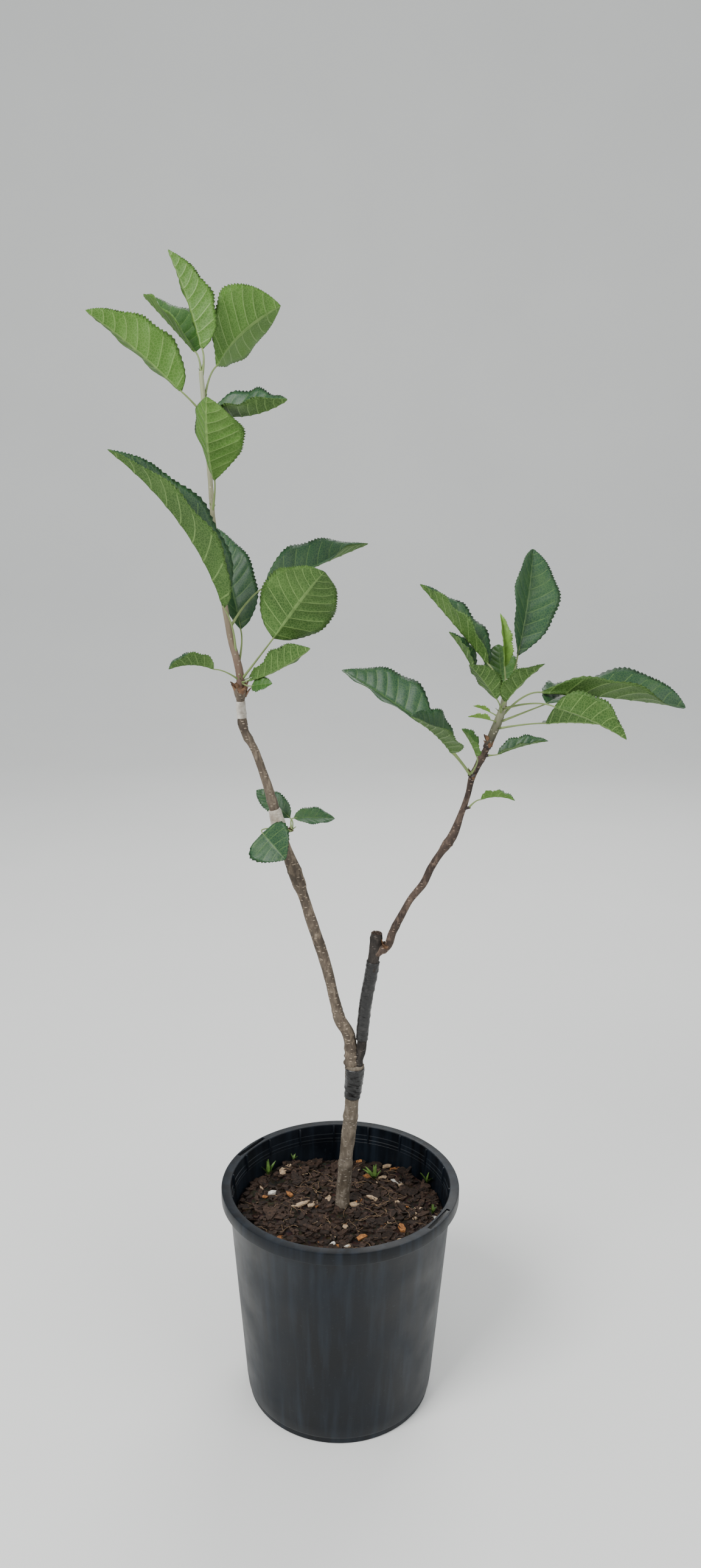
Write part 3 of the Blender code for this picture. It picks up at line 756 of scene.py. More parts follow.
def bark_limb(node, settings, skins, cut=False):
    """A limb with the bark's relief as real shape, and a rough end where it was cut."""
    bark = BARKS[node]
    curve = reach_back(smooth(LIMBS[node], LIMB_STEPS), bark.sunk)
    relief_at = bark_relief(bark.furrow, bark.knobs, bark.rings)
    rings = ringed(evenly(curve, settings.ring_step / MM), settings.sides, relief_at)
    shape = Shape()
    shape.tube(rings, tip_cap=not cut)
    if cut:
        middle = rings[-1].mean(axis=0)
        ahead = unit(middle - rings[-2].mean(axis=0))
        inward = [rings[-1]]
        for share, drop in CUT_FACE:
            ring = middle + (rings[-1] - middle) * share + ahead * drop
            rough = [noise.noise(Vector(point) * 0.7) for point in ring]
            inward.append(ring + ahead * np.array(rough)[:, None] * 0.7)
        shape.tube(np.array(inward), slot=1, foot_cap=False)
    return shape.made(bark.piece, skins, node)


def wound_band(node, skin):
    """Tape wound up a limb: each turn laps the one below, so the band is stepped in a spiral."""
    wrap = WRAPS[node]
    curve = smooth(LIMBS[wrap.limb], LIMB_STEPS)
    step, sides, lap, grit = 0.35, 48, 0.28, 0.12
    rings = np.array([at_height(curve, z) for z in np.arange(wrap.low, wrap.high + step, step)])
    share = (rings[:, 2] - wrap.low) / (wrap.high - wrap.low)
    bulge = wrap.ends + (wrap.middle - wrap.ends) * np.sin(math.pi * np.clip(share, 0, 1))
    rings[:, 3] += 2 * bulge

    def relief_at(places, angles):
        made = np.zeros((len(places), len(angles)))
        for k, place in enumerate(places):
            for i, angle in enumerate(angles):
                phase = (share[k] * wrap.turns + angle / (2 * math.pi)) % 1
                x, y = math.cos(angle), math.sin(angle)
                crease = noise.noise((x * 2 + y, y * 2, place[2] * 0.35))
                fine = noise.noise((x * 6, y * 6, place[2] * 1.1))
                made[k, i] = lap * (1 - phase) ** 2 + wrap.pull * crease + grit * fine
        return made

    shape = Shape()
    shape.tube(ringed(rings, sides, relief_at))
    return shape.made(node + "_wound", [skin], node)


def arc(span, bend, share):
    """Run and rise, at each share of the way, of an arc with the span as chord and a bend."""
    angle = math.radians(bend)
    if abs(angle) < 1e-3:
        return span * share, np.zeros_like(share)
    radius = span / (2 * math.sin(angle / 2))
    here = angle / 2 - angle * share
    run = radius * (math.sin(angle / 2) - np.sin(here))
    return run, radius * (np.cos(here) - math.cos(angle / 2))


def half_width(leaf, share):
    """Half the blade's width at each share of the way, never quite nothing."""
    shift = math.log(0.5) / math.log(leaf.broad)
    round_out = np.sin(math.pi * np.clip(share, 0, 1) ** shift)
    return np.maximum(0.4, leaf.width / 2 * np.maximum(round_out, 0) ** 0.8)


def blade_places(leaf, foot, share, across, lift):
    """Places on the blade: share from foot to tip, across from one margin to the other."""
    axis = direction(*leaf.axis)
    face = direction(*leaf.face)
    face = unit(face - axis * (face @ axis))
    side = np.cross(face, axis)
    turn = np.radians(leaf.twist) * (share - 0.5)[..., None]
    sideways = side * np.cos(turn) + np.cross(axis, side) * np.sin(turn)
    upward = face * np.cos(turn) + np.cross(axis, face) * np.sin(turn)
    run, rise = arc(leaf.blade, leaf.curl, share)
    width = half_width(leaf, share)
    start, bend = math.radians(leaf.fold), math.radians(leaf.cup)
    out = np.abs(across)
    if abs(bend) < 1e-3:
        run_out, rise_out = width * out * math.cos(start), width * out * math.sin(start)
    else:
        run_out = width / bend * (np.sin(start + bend * out) - math.sin(start))
        rise_out = width / bend * (math.cos(start) - np.cos(start + bend * out))
    tilt = np.radians(leaf.curl) * (0.5 - share)[..., None]
    lean = upward * np.cos(tilt) - axis * np.sin(tilt)
    middle = foot + axis * run[..., None] + face * rise[..., None]
    beside = sideways * (np.sign(across) * run_out)[..., None]
    return middle + beside + lean * (rise_out + lift)[..., None]


# Where a blade's rows stand between two side veins. The row at VEIN_AT and the next hold the vein.
VEIN_AT = 0.44
FINE_ROWS = (0.0, 0.16, 0.32, VEIN_AT, 0.52, 0.64, 0.78, 0.9)
PLAIN_ROWS = (0.0, 0.25, VEIN_AT, 0.54, 0.78)
HALF_COLUMNS = (0.035, 0.12, 0.27, 0.45, 0.64, 0.84, 1.0)
VEIN_SLANT = 0.21
SMALL_BLADE = 34
LARGE_BLADE = 60
FULL_RELIEF_BLADE = 70


def blade_lift(leaf, settings, share, across, pucker, rng):
    """How far each place of a blade rises: puckers between veins, waves, and an uneven tilt."""
    out = np.abs(across)
    waves = rng.uniform(2.2, 3.4)
    phase = rng.uniform(0, 6.3, 2)
    uneven = rng.uniform(-0.5, 0.5, 2)
    ripple = np.sin(2 * math.pi * waves * share + phase[(across > 0).astype(int)])
    lift = settings.pucker / MM * pucker
    lift += settings.wave / MM * ripple * out**2.2 * np.sin(math.pi * share)
    lift += uneven[0] * np.sin(3.1 * share + phase[0]) * out + uneven[1] * out**2
    return lift * min(1, leaf.blade / FULL_RELIEF_BLADE)


def blade_mesh(shape, leaf, foot, settings, slots, rng):
    """A blade with side veins, puckers, a wavy toothed margin, and an upper and an under side.

    The rows run from the midrib towards the tip as the side veins do. slots holds the material
    slots of the upper side, underside, upper veins and under veins.
    """
    veins = 9 if leaf.blade > LARGE_BLADE else 7 if leaf.blade > SMALL_BLADE else 5
    pattern = FINE_ROWS if leaf.blade > SMALL_BLADE else PLAIN_ROWS
    rows = np.array([(k + q) / veins for k in range(veins) for q in pattern] + [1.0])
    vein_row = [q == VEIN_AT for q in pattern] * veins
    columns = np.array([-c for c in reversed(HALF_COLUMNS)] + list(HALF_COLUMNS))
    start, across = np.meshgrid(rows, columns, indexing="ij")
    out = np.abs(across)
    share = start + VEIN_SLANT * out**1.25 * np.sin(math.pi * start) * (1 - 0.35 * start)
    share = np.clip(share, 0, 1)
    # Every other row stands out as a tooth, and the teeth fade at the foot and the tip.
    tooth = np.where(np.arange(len(rows)) % 2 == 0, 1.0, -0.6)[:, None] * settings.tooth / MM
    fading = np.sin(math.pi * start) ** 0.3
    margin = (out > 0.99) * tooth * fading / np.maximum(half_width(leaf, share), 2)
    between = (start * veins - VEIN_AT - 0.04) % 1
    pucker = np.sin(math.pi * between) ** 1.2 * np.sin(math.pi * np.minimum(out, 0.96)) ** 0.7
    lift = blade_lift(leaf, settings, share, across, pucker * fading, rng)
    places = blade_places(leaf, foot, share, np.sign(across) * (out + margin), lift)
    square = np.cross(np.gradient(places, axis=0), np.gradient(places, axis=1))
    long = np.linalg.norm(square, axis=-1, keepdims=True)
    square = np.where(long > 1e-6, square / np.maximum(long, 1e-9), 0)
    # Veins and the midrib are sunk in the upper side and stand out of the underside.
    small = min(1, leaf.blade / FULL_RELIEF_BLADE)
    on_vein = np.array([*vein_row, False]) | np.array([False, *vein_row])
    on_vein = small * on_vein[:, None] * (out < 0.9) * (1 - 0.6 * out)
    on_rib = small * (out < 0.05) * (1 - 0.75 * start)
    half = settings.thickness / MM / 2 * max(0.6, small)
    top = places + square * (half - 0.16 * on_vein - 0.25 * on_rib)[..., None]
    under = places - square * (half + 0.3 * on_vein + 0.95 * on_rib)[..., None]
    total, wide = start.shape
    index = np.arange(total * wide).reshape(total, wide)
    edge = np.ones((total, wide), bool)
    edge[1:-1, 1:-1] = False
    lower = np.where(edge, index, index + total * wide)
    top[edge] = places[edge]
    faces, kinds = [], []
    for k in range(total - 1):
        for i in range(wide - 1):
            rib = i == wide // 2 - 1
            vein = rib or (vein_row[k] and abs(columns[i] + columns[i + 1]) / 2 < 0.8)
            a, b, c, d = (k, i), (k, i + 1), (k + 1, i + 1), (k + 1, i)
            faces.append([index[p] for p in (a, d, c, b)])
            faces.append([lower[p] for p in (b, c, d, a)])
            kinds += slots[2:] if vein else slots[:2]
    shape.add(np.vstack([top.reshape(-1, 3), under.reshape(-1, 3)]), faces, kinds)


def stalk_tube(shape, leaf, root, foot, slot):
    """A stalk that bends into the line of its blade, swollen where it leaves its stem."""
    bend = foot - direction(*leaf.axis) * leaf.stalk * 0.35
    t = np.linspace(0, 1, 12)[:, None]
    places = root * (1 - t) ** 2 + bend * 2 * t * (1 - t) + foot * t**2
    into = blade_places(leaf, foot, np.array([0.04, 0.1]), np.array([1e-6, 1e-6]), np.zeros(2))
    places = np.vstack([places, into])
    thick = 0.75 + 0.45 * min(1, leaf.blade / 80)
    swell = np.concatenate([1.25 + 0.9 * (1 - t[:, 0]) ** 4 - 0.2 * t[:, 0], [0.85, 0.5]])
    curve = np.hstack([places, (thick * swell)[:, None]])
    shape.tube(ringed(curve, 10), slot)


def pointed_scale(shape, foot, heading, lift, length, width, slot=0):
    """A small pointed scale or stipule, cupped and two faces thick."""
    thick, face = 0.35, (heading + 180, 90 - lift)
    leaf = Leaf(0, 0, (heading, lift), length, width, (heading, lift), face, 20)
    share, across = np.meshgrid(np.linspace(0, 1, 6), np.linspace(-1, 1, 5), indexing="ij")
    places = blade_places(leaf, foot, share, across, np.zeros_like(share))
    total, wide = share.shape
    faces = []
    for k in range(total - 1):
        for i in range(wide - 1):
            at = k * wide + i
            quad = [at, at + 1, at + wide + 1, at + wide]
            faces += [quad, [j + total * wide for j in reversed(quad)]]
    top = places.reshape(-1, 3)
    shape.add(np.vstack([top, top + direction(heading, lift - 90) * thick]), faces, slot)


def rim_and_wall(settings):
    """Outline of the pot from the middle of its floor, up inside, over the rim and underneath."""
    height, rim, band, wall = (
        value / MM
        for value in (settings.height, settings.rim_radius, settings.rim_band, settings.wall)
    )
    inner_top = settings.rim_inner_radius / MM
    top, foot = settings.wall_top_radius / MM, settings.wall_foot_radius / MM
    drain = settings.drain_circle / MM
    soft = 0.5
    return [
        (0, FLOOR_TOP),
        (foot - wall - 2.5, FLOOR_TOP),
        (foot - wall - 0.4, FLOOR_TOP + 2),
        (inner_top - 0.9, height - 11),
        (inner_top - 0.9, height - 9.4),
        (inner_top - 0.3, height - 9),
        (inner_top - 0.1, height - soft),
        (inner_top + soft, height),
        (rim - 1.2, height),
        (rim - 0.3, height - 0.35),
        (rim, height - 1.2),
        (rim, height - band + 0.8),
        (rim - 0.4, height - band),
        (rim - wall, height - band),
        (rim - wall, height - wall),
        (top + 0.05, height - wall),
        (top, height - band - 3),
        (top - 0.35, height - band - 3.6),
        (foot + 1.6, 17),
        (foot + 0.4, 7.4),
        (foot, 6.2),
        (foot - 0.8, 5.2),
        (foot - 1.0, 1),
        (foot - 1.8, 0),
        (drain + 9, 0),
        (drain + 7, 2),
        (drain - 7, 2),
        (drain - 9, 0),
        (0, 0),
    ]


def across_from(out):
    """The level direction to the left of an outward one."""
    return np.array([-out[1], out[0], 0])


def label_slots(pot, rim, height):
    """Two narrow slots moulded through the rim's flat top, where a label is pushed in."""
    half, reach = 1.7, 6
    for heading, long in ((146, 36), (-34, 32)):
        out = direction(heading, 0)
        corners = [(-half, -long), (half, -long), (half, long), (-half, long)]
        ring = [out * (rim - 4.6 + a) + across_from(out) * b / 2 for a, b in corners]
        shape = Shape()
        shape.tube(np.array([ring + np.array([0, 0, height + z]) for z in (-reach, reach)]))
        cutter = shape.solid("label_slot", sharp=True)
        modifier = pot.modifiers.new("label slot", "BOOLEAN")
        modifier.object = cutter
        modifier.operation = "DIFFERENCE"
        graph = bpy.context.evaluated_depsgraph_get()
        mesh = bpy.data.meshes.new_from_object(pot.evaluated_get(graph))
        pot.modifiers.clear()
        pot.data = mesh
        bpy.data.objects.remove(cutter)


def sharpen(obj):
    """Keeps the edges of moulded plastic crisp, and shades the rest smooth."""
    with bpy.context.temp_override(object=obj, active_object=obj, selected_editable_objects=[obj]):
        bpy.ops.object.shade_smooth_by_angle(angle=math.radians(35))


class TREE_OT_pot(bpy.types.Operator):
    """Turns the pot with its hollow rim, moulded bars and drain holes"""

    bl_idname = "tree.pot"
    bl_label = "Nursery pot"

    def execute(self, context):
        settings = context.scene.tree_pot
        height, rim = settings.height / MM, settings.rim_radius / MM
        inner = settings.rim_inner_radius / MM
        sides = 160
        angles = np.arange(sides) * 2 * math.pi / sides
        around = np.stack([np.cos(angles), np.sin(angles)], -1)
        outline = rim_and_wall(settings)[-2:0:-1]
        shape = Shape()
        shape.tube(np.array([[(*(way * radius), z) for way in around] for radius, z in outline]))
        plastic = moulded_polypropylene(settings)
        pot = shape.made("pot_shell", [plastic], "pot")
        label_slots(pot, rim, height)
        sharpen(pot)
        self.bars(plastic, inner, height, around)
        self.drains(settings.drain_circle / MM)
        return {"FINISHED"}

    def bars(self, plastic, inner, height, around):
        """Upright bars moulded inside the rim, and two raised rings below them."""
        shape = Shape()
        total = 18
        for k in range(total):
            out = direction(114 - 360 * k / total, 0)
            rings = []
            for z, deep, half in ((-17, 0.2, 0.7), (-14, 1.2, 0.9), (-2.2, 1.3, 1), (-0.8, 0.7, 0.9)):
                radius = inner - 1.2 + (z + 17) * 0.06
                corners = ((0.8, -half), (-deep, -half * 0.8), (-deep, half * 0.8), (0.8, half))
                foot = np.array([0, 0, height + z])
                rings.append([out * (radius + a) + across_from(out) * b + foot for a, b in corners])
            shape.tube(np.array(rings))
        back = inner - 1.1
        for low, deep in ((-13.5, 0.5), (-16.5, 0.45)):
            ring = [(back, -0.4), (back - deep, 0), (back, 0.4), (inner, 0)]
            loop = np.array([[(*(way * r), height + low + z) for r, z in ring] for way in around])
            shape.tube(np.vstack([loop, loop[:1]]), foot_cap=False, tip_cap=False)
        sharpen(shape.made("pot_bars", [plastic], slot="pot", sharp=True))

    def drains(self, circle):
        """Dark wells where the drain holes go through the floor."""
        shape = Shape()
        total, radius, wall = 8, 5, 1.9
        for k in range(total):
            middle = direction(360 * (k + 0.5) / total, 0) * circle
            hole = [(math.cos(a) * radius, math.sin(a) * radius, wall) for a in np.arange(20) * 0.314]
            ring = middle + np.array(hole)
            well = middle + np.array(hole) * [0.92, 0.92, 0] + [0, 0, 4.6]
            shape.tube(np.array([ring + [0, 0, 0.15], ring, well]), foot_cap=False)
        # Unlit damp plastic, seen in the shadow of a hole.
        stops = (0.4, colour("#0c0d0e")), (0.7, colour("#15171a"))
        shape.made("drain_wells", [mottled("damp plastic in shadow", 0.7, 3, stops)], slot="pot")


def soil_height(x, y):
    """Top of the soil: level at the trunk, a little bumpy, and low towards the back right."""
    away = np.hypot(x - TRUNK[0][0], y - TRUNK[0][1])
    calm = np.clip((away - 10) / 20, 0, 1)
    waves = np.sin(x / 9 + 1) * np.cos(y / 11) + np.sin((x + y) / 17)
    dip = 5 * np.maximum(0, (0.4 * x + 0.9 * y) / 90) ** 2
    return SOIL_TOP + calm * (SOIL_BUMP * waves - dip)


# Finishes of the chips, their usual shares, and their light and dark shades.
CHIP_FINISHES = {
    "brown": ("composted bark", 0.5, "#46352a", "#1d1511"),
    "dark": ("dark peat crumb", 0.455, "#33271f", "#130e0b"),
    "orange": ("fresh orange bark", 0.015, "#a8713f", "#5d3a20"),
    "pale": ("dry pale bark", 0.027, "#b9a184", "#6d5943"),
    "stone": ("white grit", 0.003, "#d8d4ca", "#9a958a"),
}
# Bits that show on the soil: across, back, length, width, heading, and which chip finish.
SOIL_BITS = [
    (-61, 26, 8, 6, 20, "stone"),
    (-45, 25, 9, 5, 130, "orange"),
    (-35, 9, 20, 5, 25, "pale"),
    (-11, 13, 10, 5, 70, "pale"),
    (28, 16, 11, 5, 150, "pale"),
    (18, -38, 10, 6, 40, "orange"),
    (52, -29, 12, 6, 100, "orange"),
    (43, 74, 8, 5, 10, "pale"),
    (-24, -30, 14, 6, 160, "brown"),
    (-60, -12, 13, 7, 60, "brown"),
    (70, -8, 14, 5, 30, "brown"),
    (6, 48, 16, 6, 120, "brown"),
]
# Seedlings: across, back, how many blades, and their length.
SEEDLINGS = ((80, 0, 5, 9), (31, 54, 6, 13), (78, 44, 4, 16), (-66, 56, 5, 15), (-44, 78, 4, 10))


def chip(shape, middle, long, wide, thick, turn, tip, rng, slot):
    """A flat splinter of bark with uneven corners, tipped a little into the soil."""
    along = np.array([math.cos(turn), math.sin(turn), math.sin(tip)])
    across = np.array([-math.sin(turn), math.cos(turn), math.sin(tip * 0.6)])
    outline = ((-0.5, -0.35), (-0.1, -0.5), (0.4, -0.38), (0.5, 0.1), (0.15, 0.5), (-0.42, 0.36))
    ring = np.array([along * a * long + across * b * wide for a, b in outline])
    ring = ring * rng.uniform(0.72, 1.2, (6, 1)) + middle
    rise = np.array([0, 0, thick])
    shape.tube(np.array([ring - rise * 0.6, ring + rise * rng.uniform(0.3, 0.7, (6, 1))]), slot)


def scattered(rng, radius):
    """A random place within a radius of the pot's axis, evenly spread."""
    reach = radius * math.sqrt(rng.uniform(0, 1))
    turn = rng.uniform(0, 2 * math.pi)
    return reach * math.cos(turn), reach * math.sin(turn)


class TREE_OT_soil(bpy.types.Operator):
    """Fills the pot with soil, bark chips, root fibres and a few seedlings"""

    bl_idname = "tree.soil"
    bl_label = "Soil"

    def execute(self, context):
        settings = context.scene.tree_soil
        rng = np.random.default_rng(settings.seed)
        shape = Shape()
        sides = 150
        angles = np.arange(sides) * 2 * math.pi / sides
        rings = []
        for radius in np.linspace(SOIL_EDGE, 0.6, 64):
            x, y = radius * np.cos(angles), radius * np.sin(angles)
            z = soil_height(x, y) - 1.2
            for k in range(sides):
                z[k] += 1.5 * noise.noise((x[k] * 0.14, y[k] * 0.14, 0))
                z[k] += 1.1 * noise.noise((x[k] * 0.45, y[k] * 0.45, 3))
            # The soil falls away at the wall.
            z -= 2.5 * max(0, (radius - 84) / 7)
            rings.append(np.stack([x, y, z], -1))
        under = rings[0] - [0, 0, 12]
        deep = rings[0] * [0.83, 0.83, 0] + [0, 0, FLOOR_TOP + 0.6]
        shape.tube(np.array([deep, under, *rings]))
        shape.made("soil_bed", [potting_soil(settings)], "soil")
        self.chips(settings, rng)
        self.fibres(settings, rng)
        self.seedlings(rng)
        return {"FINISHED"}

    def chips(self, settings, rng):
        shape = Shape()
        shares = [share for _, share, _, _ in CHIP_FINISHES.values()]
        for _ in range(settings.chips):
            x, y = scattered(rng, 87)
            if math.hypot(x - TRUNK[0][0], y - TRUNK[0][1]) < 9:
                continue
            long = rng.gamma(3.2, 1.5) + 1.6
            wide = long * rng.uniform(0.25, 0.75)
            slot = int(rng.choice(len(shares), p=shares))
            middle = np.array([x, y, soil_height(x, y) + rng.uniform(-0.9, 0.5)])
            tip = rng.normal(0, 0.28)
            thick, turn = rng.uniform(0.5, 1.6), rng.uniform(0, 6.3)
            chip(shape, middle, long, wide, thick, turn, tip, rng, slot)
        for x, y, long, wide, heading, kind in SOIL_BITS:
            middle = np.array([x, y, soil_height(x, y) + 0.9])
            thick = 2.4 if kind == "stone" else 1.1
            slot = list(CHIP_FINISHES).index(kind)
            chip(shape, middle, long, wide, thick, math.radians(heading), 0.08, rng, slot)
        skins = [bark_chip(name, light, dark) for name, _, light, dark in CHIP_FINISHES.values()]
        shape.made("bark_chips", skins, slot="soil", sharp=True)

    def fibres(self, settings, rng):
        """Fine dry roots that lie on the soil in loose curls."""
        shape = Shape()
        step, thick = 2.6, 0.45
        for _ in range(settings.fibres):
            x, y = scattered(rng, 82)
            way = rng.uniform(0, 2 * math.pi)
            places = []
            for _ in range(9):
                if math.hypot(x, y) < 86:
                    places.append((x, y, soil_height(x, y) + rng.uniform(0.2, 1.3), thick))
                way += rng.normal(0, 0.45)
                x, y = x + step * math.cos(way), y + step * math.sin(way)
            if len(places) > 3:
                shape.tube(ringed(np.array(places), 4))
        skin = plain_skin("dry root fibre", colour("#8d7458"), colour("#4a3826"), 0.8)
        shape.made("root_fibres", [skin], slot="soil")

    def seedlings(self, rng):
        """Small green seedlings: a few thin blades from one point."""
        shape = Shape()
        for x, y, blades, long in SEEDLINGS:
            foot = np.array([x, y, soil_height(x, y) - 0.5])
            for _ in range(blades):
                heading, lift = rng.uniform(0, 360), rng.uniform(35, 80)
                tall = long * rng.uniform(0.6, 1.1)
                pointed_scale(shape, foot, heading, lift, tall, tall * 0.26)
        skin = plain_skin("seedling green", colour("#5f7d38"), colour("#3c5524"))
        shape.made("seedlings", [skin], slot="soil")


class TREE_OT_wood(bpy.types.Operator):
    """Makes the trunk, the cut leader and both boughs with the relief of their bark"""

    bl_idname = "tree.wood"
    bl_label = "Trunk and boughs"

    def execute(self, context):
        settings = context.scene.tree_wood
        skins = {
            "trunk": ("old trunk bark", settings.trunk, "#9a9082", "#4b4238"),
            "leader_stub": ("blackened leader bark", colour("#211d1a"), "#57504a", "#0f0d0c"),
            "left_bough": ("smooth two-year bark", settings.bough, "#a3937f", "#3d2f28"),
            "right_bough": ("thin dark bark", settings.dark_bough, "#8a7565", "#1f1412"),
        }
        for node, (name, base, flake, streak) in skins.items():
            skin = old_bark(name, base, colour(flake), colour(streak))
            if node == "leader_stub":
                bark_limb(node, settings, [skin, cut_wood()], cut=True)
            else:
                bark_limb(node, settings, [skin])
        return {"FINISHED"}


class TREE_OT_wraps(bpy.types.Operator):
    """Winds black tape on the trunk and leader, and film on the two grafts of the left bough"""

    bl_idname = "tree.wraps"
    bl_label = "Grafting tape and film"

    def execute(self, context):
        settings = context.scene.tree_wood
        tape = grafting_tape(settings)
        film = grafting_film("cloudy grafting film", settings.film, colour("#6f5d4c"))
        white = grafting_film("white grafting film", colour("#bbb6ac"), colour("#6f6659"))
        for node, skin in zip(WRAPS, (tape, tape, film, white)):
            wound_band(node, skin)
        return {"FINISHED"}


def stem_curve(name, limbs):
    """The curve of a mass's stem, and how far along it the limb's own side lies."""
    stem = STEMS[name]
    if not isinstance(stem, Spur):
        return smooth(stem, SHOOT_STEPS), 0.0
    *axis, diameter = at_height(limbs[stem.limb], stem.height)
    axis = np.array(axis)
    skip = diameter / 2 + stem.clear
    tip = axis + direction(*stem.toward) * (skip + stem.length)
    points = [
        (*(axis * (1 - t) + tip * t), stem.diameter * (1.1 - 0.25 * t))
        for t in np.linspace(0, 1, 6)
    ]
    return np.array(points), skip


# Rings of bud scales: the limb and the height, how many, their radius and their length.
BUD_RINGS = (
    ("left_bough", 618, 15, 5.0, 8.0),
    ("right_bough", 587, 9, 3.2, 5.0),
    ("right_bough", 561, 6, 3.0, 4.0),
    ("left_bough", 503, 6, 4.2, 5.0),
    ("right_bough", 411, 8, 3.6, 6.0),
)


class TREE_OT_leaves(bpy.types.Operator):
    """Grows each mass: its stem with buds, its stalks, and its veined and toothed blades"""

    bl_idname = "tree.leaves"
    bl_label = "Leaves"

    def execute(self, context):
        settings, wood = context.scene.tree_leaf, context.scene.tree_wood
        blade_skins = self.blade_skins(settings)
        shadow = blend_colour(settings.stalk, colour("#6c7a4a"), 0.6)
        stalk = plain_skin("leaf stalk skin", settings.stalk, shadow)
        bud = plain_skin("brown bud scale", colour("#7a5a3f"), colour("#3b271b"), 0.6)
        foot, tip = settings.shoot_foot, settings.shoot_tip
        left_skin = young_bark("green left shoot bark", foot, tip, 625, 850)
        right_skin = young_bark("green right shoot bark", wood.dark_bough, tip, 585, 640)
        limbs = {name: smooth(stations, LIMB_STEPS) for name, stations in LIMBS.items()}
        for name, leaves in LEAVES.items():
            rng = np.random.default_rng(len(name))
            curve, skip = stem_curve(name, limbs)
            stems, blades = Shape(), Shape()
            sunk = reach_back(curve, 0 if skip else 7)
            stems.tube(ringed(evenly(sunk, 1.2), 20, bark_relief(0.16, 0.25)))
            for k, leaf in enumerate(leaves):
                root = at_lengths(curve, leaf.up + skip)[:3]
                foot = root + direction(*leaf.toward) * leaf.stalk
                first = 4 * TONES.index(NEWER_LEAVES.get(name, {}).get(k, "mature"))
                blade_mesh(blades, leaf, foot, settings, list(range(first, first + 4)), rng)
                stalk_tube(stems, leaf, root, foot, 1)
                self.stipules(stems, leaf, root, rng)
            on_left = "left" in name or "graft" in name
            skins = [left_skin if on_left else right_skin, stalk, bud]
            stems.made(name + "_stems", skins, name)
            blades.made(name + "_blades", blade_skins, slot=name)
        self.bud_scales(bud, limbs)
        return {"FINISHED"}

    def blade_skins(self, settings):
        """For each tone: the upper side, the underside, the sunk veins and the raised veins."""
        made = []
        for tone in TONES:
            upper, under = getattr(settings, tone + "_upper"), getattr(settings, tone + "_under")
            vein = blend_colour(settings.vein, under, 0.25)
            sunk = blend_colour(upper, vein, 0.45)
            pale = blend_colour(upper, vein, 0.6)
            made += [
                leaf_side(f"{tone} leaf upper side", upper, pale, 0.3, 0.46),
                leaf_side(f"{tone} leaf underside", under, vein, 0.4, 0.62),
                plain_skin(f"{tone} sunk vein", sunk, blend_colour(sunk, upper, 0.5)),
                plain_skin(f"{tone} raised vein", vein, blend_colour(vein, under, 0.4)),
            ]
        return made

    def stipules(self, shape, leaf, root, rng):
        """A pair of narrow stipules and a small bud where a long stalk leaves its stem."""
        if leaf.stalk < 18:
            return
        heading, lift = leaf.toward
        for turn in (-55, 55):
            long = rng.uniform(5, 9)
            pointed_scale(shape, root, heading + turn, min(80, lift + 5), long, 1.6, 1)
        pointed_scale(shape, root, heading, min(86, lift + 28), 4.5, 3.2, 2)

    def bud_scales(self, skin, limbs):
        """Rings of overlapping brown scales where this year's shoots broke from their buds."""
        shape = Shape()
        rng = np.random.default_rng(3)
        for limb, height, total, radius, long in BUD_RINGS:
            middle = at_height(limbs[limb], height)[:3]
            for k in range(total):
                heading = 360 * k * NEXT_SCALE
                foot = middle + [0, 0, rng.uniform(-4, 3)] + direction(heading, 0) * radius * 0.85
                lift, share = rng.uniform(55, 80), rng.uniform(0.7, 1.2)
                pointed_scale(shape, foot, heading, lift, long * share, long * 0.7)
        shape.made("bud_scales", [skin], slot="left_bough")


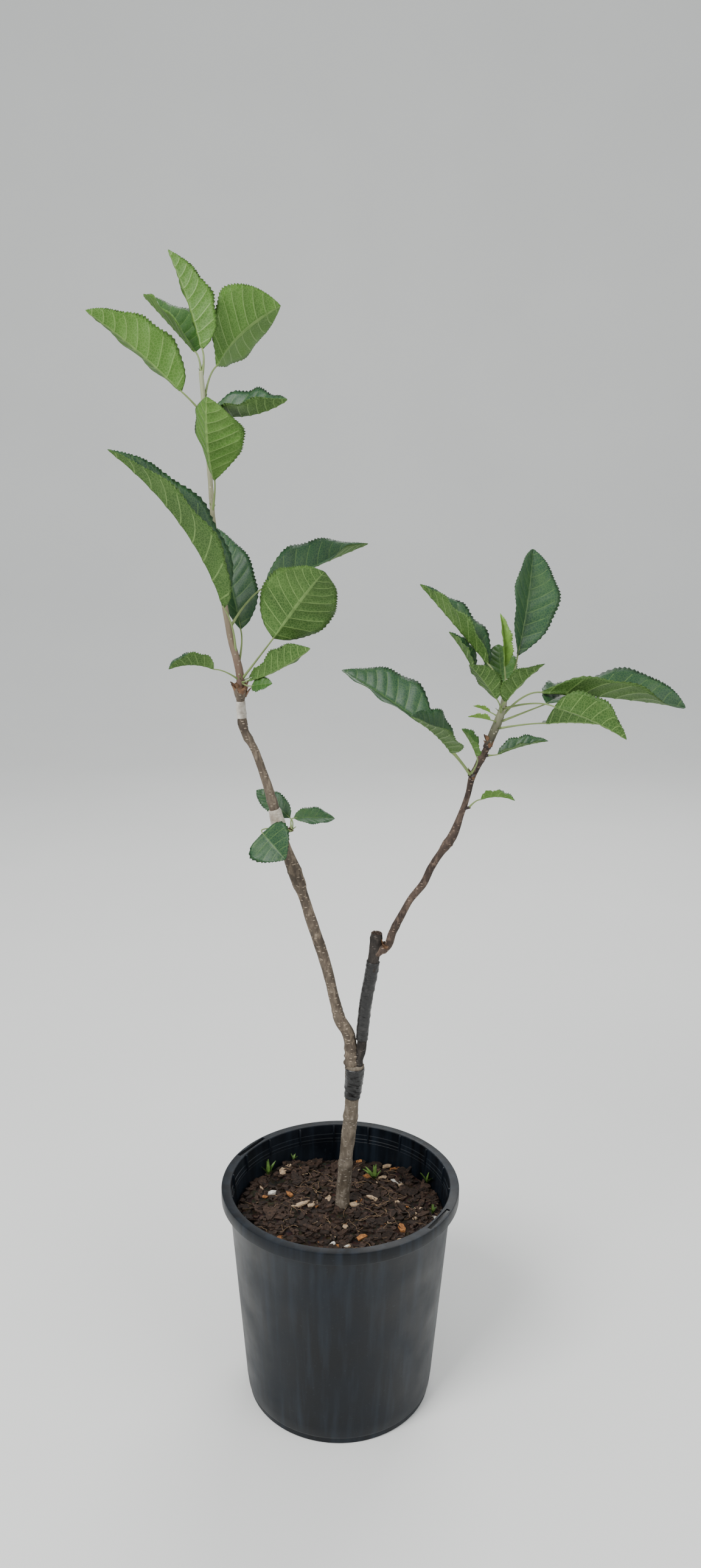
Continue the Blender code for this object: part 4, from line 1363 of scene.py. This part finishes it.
class TREE_OT_stage(bpy.types.Operator):
    """Sets a pale studio floor, soft lights, and the camera where the photo was taken from"""

    bl_idname = "tree.stage"
    bl_label = "Studio"

    def execute(self, context):
        settings = context.scene.tree_stage
        self.floor(context, settings)
        world = context.scene.world or bpy.data.worlds.new("studio")
        context.scene.world = world
        world.use_nodes = True
        background = world.node_tree.nodes["Background"]
        plug(world.node_tree, background, {"Color": colour("#e9edf1"), "Strength": 0.8})
        for name, place, wide, power in (
            ("key light", (-1.1, -1.3, 2.1), 1.0, 62),
            ("fill light", (1.6, -1.2, 1.2), 1.6, 18),
            ("back light", (0.5, 1.7, 2.0), 1.4, 26),
        ):
            light = bpy.data.lights.new(name, "AREA")
            light.size = wide
            light.energy = power
            obj = bpy.data.objects.new(name, light)
            context.scene.collection.objects.link(obj)
            obj.location = place
            aim = Vector((0.02, 0, 0.5)) - obj.location
            obj.rotation_euler = aim.to_track_quat("-Z", "Y").to_euler()
        self.camera(context, settings)
        return {"FINISHED"}

    def floor(self, context, settings):
        """A floor that curves up into a backdrop well behind the plant."""
        wide, back, bend = 16, 2.5, 1.5
        profile = [(-wide, 0), (back, 0)]
        for a in np.linspace(0.1, 1.57, 12):
            profile.append((back + bend * math.sin(a), bend - bend * math.cos(a)))
        profile.append((back + bend, 6))
        points = [(x, y, z) for y, z in profile for x in (-wide, wide)]
        faces = [(2 * k, 2 * k + 1, 2 * k + 3, 2 * k + 2) for k in range(len(profile) - 1)]
        mesh = bpy.data.meshes.new("studio_floor")
        mesh.from_pydata(points, [], faces)
        mesh.polygons.foreach_set("use_smooth", [True] * len(faces))
        # Matt paper, with faint clouds about 400 mm wide.
        stops = (0.3, blend_colour(settings.floor, BLACK, 0.03)), (0.7, settings.floor)
        mesh.materials.append(mottled("matt studio paper", 0.9, 400, stops, specular=0.2))
        floor = bpy.data.objects.new("studio_floor", mesh)
        context.scene.collection.objects.link(floor)

    def camera(self, context, settings):
        """A camera turned by yaw, tipped down by pitch and rolled, looking over the pot."""
        data = bpy.data.cameras.new("camera")
        data.lens = settings.lens
        data.clip_start = 0.05
        camera = bpy.data.objects.new("camera", data)
        context.scene.collection.objects.link(camera)
        level, tipped = math.cos(settings.roll), math.sin(settings.roll)
        right = Vector((math.cos(settings.yaw), -math.sin(settings.yaw), 0))
        ahead = Vector((math.sin(settings.yaw), math.cos(settings.yaw), 0))
        ahead = ahead * math.cos(settings.pitch) - Vector((0, 0, math.sin(settings.pitch)))
        above = right.cross(ahead)
        axes = (right * level + above * tipped, above * level - right * tipped, -ahead)
        facing = Matrix(axes).transposed().to_4x4()
        facing.translation = (0, -settings.camera_distance, settings.camera_height)
        camera.matrix_world = facing
        context.scene.camera = camera


OPERATORS = (TREE_OT_pot, TREE_OT_soil, TREE_OT_wood, TREE_OT_wraps, TREE_OT_leaves, TREE_OT_stage)
SETTINGS = {
    "tree_pot": PotSettings,
    "tree_soil": SoilSettings,
    "tree_wood": WoodSettings,
    "tree_leaf": LeafSettings,
    "tree_stage": StageSettings,
}


class VIEW3D_PT_tree(bpy.types.Panel):
    """Sidebar panel with each group of settings and each piece's button"""

    bl_label = "Potted dwarf tree"
    bl_idname = "VIEW3D_PT_tree"
    bl_space_type = "VIEW_3D"
    bl_region_type = "UI"
    bl_category = "Tree"

    def draw(self, context):
        for name, group in SETTINGS.items():
            box = self.layout.box()
            for key in group.__annotations__:
                box.prop(getattr(context.scene, name), key)
        for operator in OPERATORS:
            self.layout.operator(operator.bl_idname)


CLASSES = (*SETTINGS.values(), *OPERATORS, VIEW3D_PT_tree)


def register():
    for made in CLASSES:
        bpy.utils.register_class(made)
    for name, group in SETTINGS.items():
        setattr(bpy.types.Scene, name, PointerProperty(type=group))


def unregister():
    for name in SETTINGS:
        delattr(bpy.types.Scene, name)
    for made in reversed(CLASSES):
        bpy.utils.unregister_class(made)


def main():
    register()
    bpy.ops.tree.pot()
    bpy.ops.tree.soil()
    bpy.ops.tree.wood()
    bpy.ops.tree.wraps()
    bpy.ops.tree.leaves()
    bpy.ops.tree.stage()


if __name__ == "__main__":
    main()
